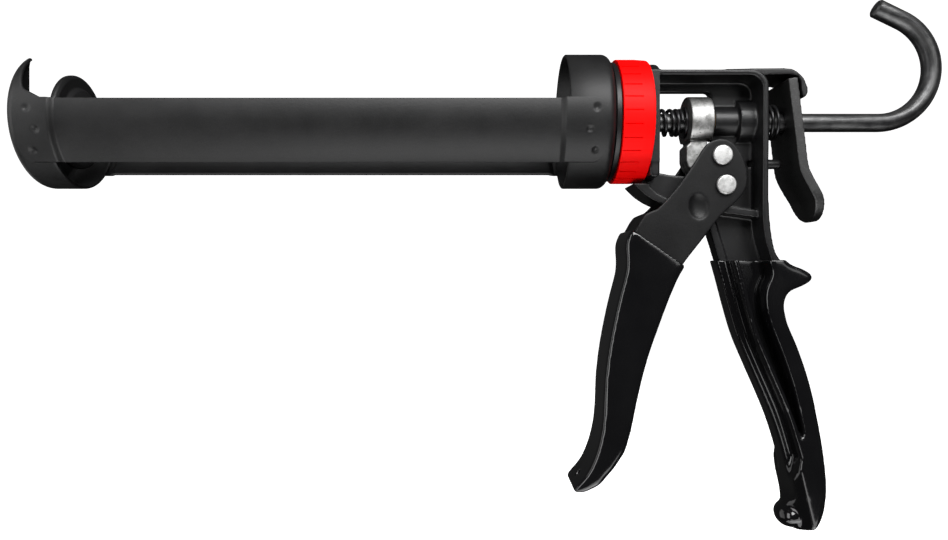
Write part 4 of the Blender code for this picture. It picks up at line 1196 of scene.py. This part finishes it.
@dataclass
class Trigger:
    """The pressed trigger with its vinyl coat, pins and bushes."""

    finishes: Finishes
    overlap: float = 0.45 * MM
    pivot: Triple = (32.2 * MM, 0.0, -28.3 * MM)
    drive: Triple = (30.7 * MM, 0.0, -15.9 * MM)
    pin_radii: tuple[float, float] = (2.9 * MM, 2.6 * MM)
    cheek: float = 12.3 * MM
    rivet_radius: float = 4.2 * MM
    rivet_head: float = 1.5 * MM
    dip: tuple[Point, Point] = ((-4.1, -47.6), (14.1, -60.1))
    tip: tuple[Point, ...] = ((-60.0, -157.2), (-27.0, -157.2), (-20.5, -154.0), (-14.5, -147.2),
                              (-9.0, -139.0), (0.0, -139.0), (0.0, -175.0), (-60.0, -175.0))

    def pressing(self) -> None:
        """The bare steel, with an embossed stop on each cheek."""
        obj = Bench.copy_of("trigger", "pressing")
        self.cut(obj, -8 * MM, below=True)
        for side in (-1, 1):
            boss = Bench.ball("emboss", (20.9 * MM, side * (self.cheek + 1.1 * MM), -37.4 * MM),
                              (4.6 * MM, 2.6 * MM, 6.2 * MM), math.radians(-10))
            Bench.carve(obj, boss)
        Bench.remesh(obj, 0.45 * MM, 4)
        Piece.file(obj, "trigger", Body.TRIGGER, Slot.POWDER, self.finishes.pressed, 70)

    def cut(self, obj: Mesh, shift: float, below: bool) -> None:
        """Removes what lies beyond the slanted dip line.

        Args:
            obj: The piece.
            shift: How far the line moves towards the bare end.
            below: True to remove the dipped end, False to remove the bare one.
        """
        start, end = (Vector(point) for point in in_mm(self.dip))
        run = (end - start).normalized()
        up = Vector((-run.y, run.x))
        start, reach = start + up * shift, 0.2
        side = -up if below else up
        corners = [start - run * reach, start + run * reach, start + (run + side) * reach,
                   start + (side - run) * reach]
        Bench.carve(obj, Bench.prism("dip line", [tuple(c) for c in corners], -0.05, 0.05))

    def grip(self) -> None:
        """The coat, grown from the pressing that it was dipped on."""
        coat = Bench.copy_of("trigger_grip", "trigger coat")
        core = Bench.copy_of("trigger", "trigger core")
        self.cut(core, 5 * MM, below=False)
        obj = Bench.grown(coat, core, self.overlap)
        Bench.carve(obj, Bench.prism("tip", in_mm(self.tip), -30 * MM, 30 * MM))
        Bench.modify(obj, "REMESH", mode="VOXEL", voxel_size=0.9 * MM)
        Bench.modify(obj, "SMOOTH", iterations=26, factor=0.6)
        self.cut(obj, -1.2 * MM, below=False)
        dimple = Bench.ball("drain dimple", (-26.9 * MM, 0.0, -152.4 * MM), (2.4 * MM, 1.7 * MM, 1.7 * MM))
        Bench.carve(obj, dimple)
        Bench.remesh(obj, 0.5 * MM, 4)
        Piece.file(obj, "trigger_grip", Body.TRIGGER, Slot.VINYL, self.finishes.vinyl, 80)

    def rivet(self, node: str, centre: Triple, radius: float) -> None:
        """A pin with a flattened dome on each end."""
        seat, rim = self.cheek + GAP, self.rivet_radius
        top = seat + self.rivet_head
        half = [(seat, radius), (seat, rim - 0.2 * MM), (seat + 0.2 * MM, rim)]
        half += [(top - 0.9 * MM + 0.9 * MM * math.sin(a), rim - 0.75 * MM * (1 - math.cos(a)))
                 for a in quarter(7)]
        half += [(top + 0.05 * MM, rim * 0.4), (top + 0.06 * MM, 0.0)]
        profile = [(-y, r) for y, r in reversed(half)] + half
        obj = Bench.spun(node, profile, 72, centre=centre, along_y=True)
        Piece.file(obj, node, Body.TRIGGER, Slot.ZINC, self.finishes.rivet, 35)

    def sleeve(self, node: str, centre: Triple, inner: float, body: Body,
               slot: Slot, material: Material) -> None:
        """A bush round one of the pins."""
        low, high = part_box(node)
        outer = (high.x - low.x) / 2
        section = [(low.y, inner), (low.y, outer), (high.y, outer), (high.y, inner)]
        obj = Bench.spun(node, filleted(section, 0.2 * MM), 64, centre=centre, along_y=True)
        Piece.file(obj, node, body, slot, material)

    def build(self) -> None:
        """Makes the trigger's pieces."""
        self.pressing()
        self.grip()
        pivot, drive = self.pin_radii
        self.rivet("pivot_pin", self.pivot, pivot)
        self.rivet("drive_pin", self.drive, drive)
        self.sleeve("pivot_bush", self.pivot, pivot + GAP, Body.FRAME, Slot.BRONZE, self.finishes.bronze)
        self.sleeve("drive_sleeve", self.drive, drive + GAP, Body.TRIGGER, Slot.DARK, self.finishes.steel)


@dataclass
class Drive:
    """The sliding block, its seat, both springs and the release lever."""

    finishes: Finishes
    block_front: float = 18.6 * MM
    stroke: float = 5.6 * MM
    return_wire: float = 0.8 * MM
    return_turns: float = 4.5
    release_wire: float = 0.7 * MM
    release_turns: float = 3.25
    tail_rear: float = 26.6 * MM
    tail_half: float = 5.6 * MM
    flat: float = -8.2 * MM

    def block(self) -> None:
        """The sintered drive block: a barrel with a flat and a tail."""
        low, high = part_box("drive_block")
        nose, front, face, margin, wide = self.block_front, low.x, self.tail_rear, MM, 20 * MM
        barrel = [(nose, 0.0), (nose, high.z), (high.x, high.z), (high.x, 0.0)]
        obj = Bench.spun("drive block", filleted(barrel, 0.6 * MM), 128)
        under = Bench.block("flat", (low.x - margin, -wide, -2 * wide), (high.x + margin, wide, self.flat))
        Bench.carve(obj, under)
        tail = [(nose + 0.8 * MM, -4 * MM), (nose + 0.8 * MM, -9.4 * MM), (front, -11.0 * MM),
                (front, -17.0 * MM), (front + 1.0 * MM, -19.8 * MM), (nose + 2.6 * MM, low.z),
                (face - 0.8 * MM, low.z), (face, low.z + 1.2 * MM), (face, -4 * MM)]
        Bench.carve(obj, Bench.prism("tail", tail, -self.tail_half, self.tail_half), "UNION")
        bore = TurningJoint.rod_radius() + GAP
        begin, end = low.x - margin, high.x + margin
        hole = [(begin, 0.0), (begin, bore), (end, bore), (end, 0.0)]
        Bench.carve(obj, Bench.spun("bore", hole, 64))
        Bench.remesh(obj, 0.36 * MM, 4)
        Piece.file(obj, "drive_block", Body.DRIVER, Slot.ZINC, self.finishes.zinc, 60)

    def seat(self) -> None:
        """The washer between the return spring and the block."""
        low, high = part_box("spring_seat")
        bore = TurningJoint.rod_radius() + GAP
        section = [(low.x, bore), (low.x, high.y), (high.x, high.y), (high.x, bore)]
        obj = Bench.spun("spring seat", filleted(section, 0.2 * MM), 72)
        Piece.file(obj, "spring_seat", Body.DRIVER, Slot.DARK, self.finishes.spring)

    def coil(self, node: str, wire: float, turns: float, closed: Point) -> Mesh:
        """A round-wire spring with closed ends.

        Args:
            node: Its CAD node, which gives its two ends.
            wire: Radius of the wire.
            turns: Number of turns.
            closed: Closed turns at the front and at the rear.

        Returns:
            The mesh object.
        """
        low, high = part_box(node)
        radius = high.z - wire
        begin, end = low.x + wire, high.x - wire
        (first, last), pitch, per_turn = closed, 2.15 * wire, 40
        middle = (end - begin - pitch * (first + last)) / (turns - first - last)
        points = []
        for i in range(int(turns * per_turn) + 1):
            done = i / per_turn
            wound = min(done, first) + max(done - turns + last, 0.0)
            place = begin + pitch * wound + middle * (done - wound)
            turn = 2 * math.pi * done
            points.append((place, radius * math.cos(turn), radius * math.sin(turn)))
        obj = Bench.wire(node, points, wire)
        return Piece.file(obj, node, Body.FRAME, Slot.DARK, self.finishes.spring, 45)

    def springs(self) -> None:
        """Both coils, each with a mesh of its own."""
        spring = self.coil("return_spring", self.return_wire, self.return_turns, (0.75, 1.75))
        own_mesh(spring)
        spring = self.coil("release_spring", self.release_wire, self.release_turns, (0.75, 0.75))
        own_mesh(spring)

    def lever(self) -> None:
        """The release lever behind the frame."""
        obj = Bench.copy_of("release_lever", "lever")
        Bench.remesh(obj, 0.4 * MM, 3)
        Piece.file(obj, "release_lever", Body.RELEASE, Slot.POWDER, self.finishes.lever, 60)

    def build(self) -> None:
        """Makes the drive's pieces."""
        self.block()
        self.seat()
        self.springs()
        self.lever()


@dataclass
class Studio:
    """Pale paper sweep, soft lights and the camera."""

    camera_place: Triple = (-0.073, -0.313, -0.0639)
    sensor: float = 36.0
    focal_share: float = 720.0 / 948.0  # focal length over the sensor's width
    floor: float = -0.24
    middle: Triple = (0.0, 0.0, -0.05)
    air: float = 0.03

    def sweep(self) -> None:
        """Floor and walls in one curved bowl of paper, which lights nothing and shows in no gloss."""
        radius, reach, top = 0.8, 3.2, 3.0
        line = [Vector((0.0, 0.0, self.floor))]
        bend = arc((reach - radius, self.floor + radius), radius, -90, 0, 16)
        line += [Vector((x, 0.0, z)) for x, z in bend]
        line += [Vector((reach, 0.0, top))]
        obj = Bench.chain("paper sweep", line, closed=False)
        bpy.ops.mesh.spin(steps=64, angle=2 * math.pi, center=(0, 0, 0), axis=(0, 0, 1))
        Bench.close_up(obj)
        Bench.smooth(obj, 60)
        obj.data.materials.append(StudioPaper().material())
        obj.visible_glossy = obj.visible_diffuse = False

    def light(self, name: str, place: Triple, size: Point, power: float) -> None:
        """A rectangular softbox that points at the gun.

        Args:
            name: Its name.
            place: Where it stands.
            size: Width and height.
            power: Watts.
        """
        Bench.clear()
        turn = (Vector(self.middle) - Vector(place)).to_track_quat("-Z", "Y").to_euler()
        bpy.ops.object.light_add(type="AREA", location=place, rotation=turn)
        lamp = bpy.context.object
        lamp.name = name
        lamp.data.shape = "RECTANGLE"
        lamp.data.size, lamp.data.size_y = size
        lamp.data.energy = power
        lamp.visible_camera = False

    def camera(self) -> None:
        """The camera, level and square to the barrel."""
        Bench.clear()
        bpy.ops.object.camera_add(location=self.camera_place, rotation=(math.pi / 2, 0, 0))
        camera = bpy.context.object
        camera.data.sensor_width = self.sensor
        camera.data.lens = self.sensor * self.focal_share
        camera.data.clip_start = 0.01
        bpy.context.scene.camera = camera

    def build(self) -> None:
        """Sets the studio up."""
        self.camera()
        self.sweep()
        world = bpy.data.worlds.new("studio air")
        world.use_nodes = True
        background = world.node_tree.nodes["Background"]
        background.inputs["Color"].default_value = (1, 1, 1, 1)
        background.inputs["Strength"].default_value = self.air
        bpy.context.scene.world = world
        bpy.context.scene.view_settings.view_transform = "Standard"
        self.light("key", (0.15, -0.9, 0.75), (1.3, 0.6), 26.0)
        self.light("left strip", (-1.0, -0.55, 0.1), (0.5, 1.1), 6.0)
        self.light("right strip", (0.75, -1.5, 0.3), (0.4, 0.6), 1.2)
        self.light("low fill", (-0.1, -0.3, -0.9), (1.2, 0.5), 4.0)
        self.light("low front", (0.0, -0.8, -0.95), (1.4, 0.8), 8.0)
        self.light("back left", (-1.3, 0.5, -0.15), (0.8, 1.4), 3.0)


def main() -> None:
    """Builds every sub-assembly round the frame."""
    logging.basicConfig(level=logging.INFO, format="%(name)s: %(message)s")
    finishes = Finishes()
    Studio().build()
    for assembly in (Cradle, TurningJoint, RodAndPlunger, Casting, Trigger, Drive):
        assembly(finishes).build()
    Bench.clear()


if __name__ == "__main__":
    main()
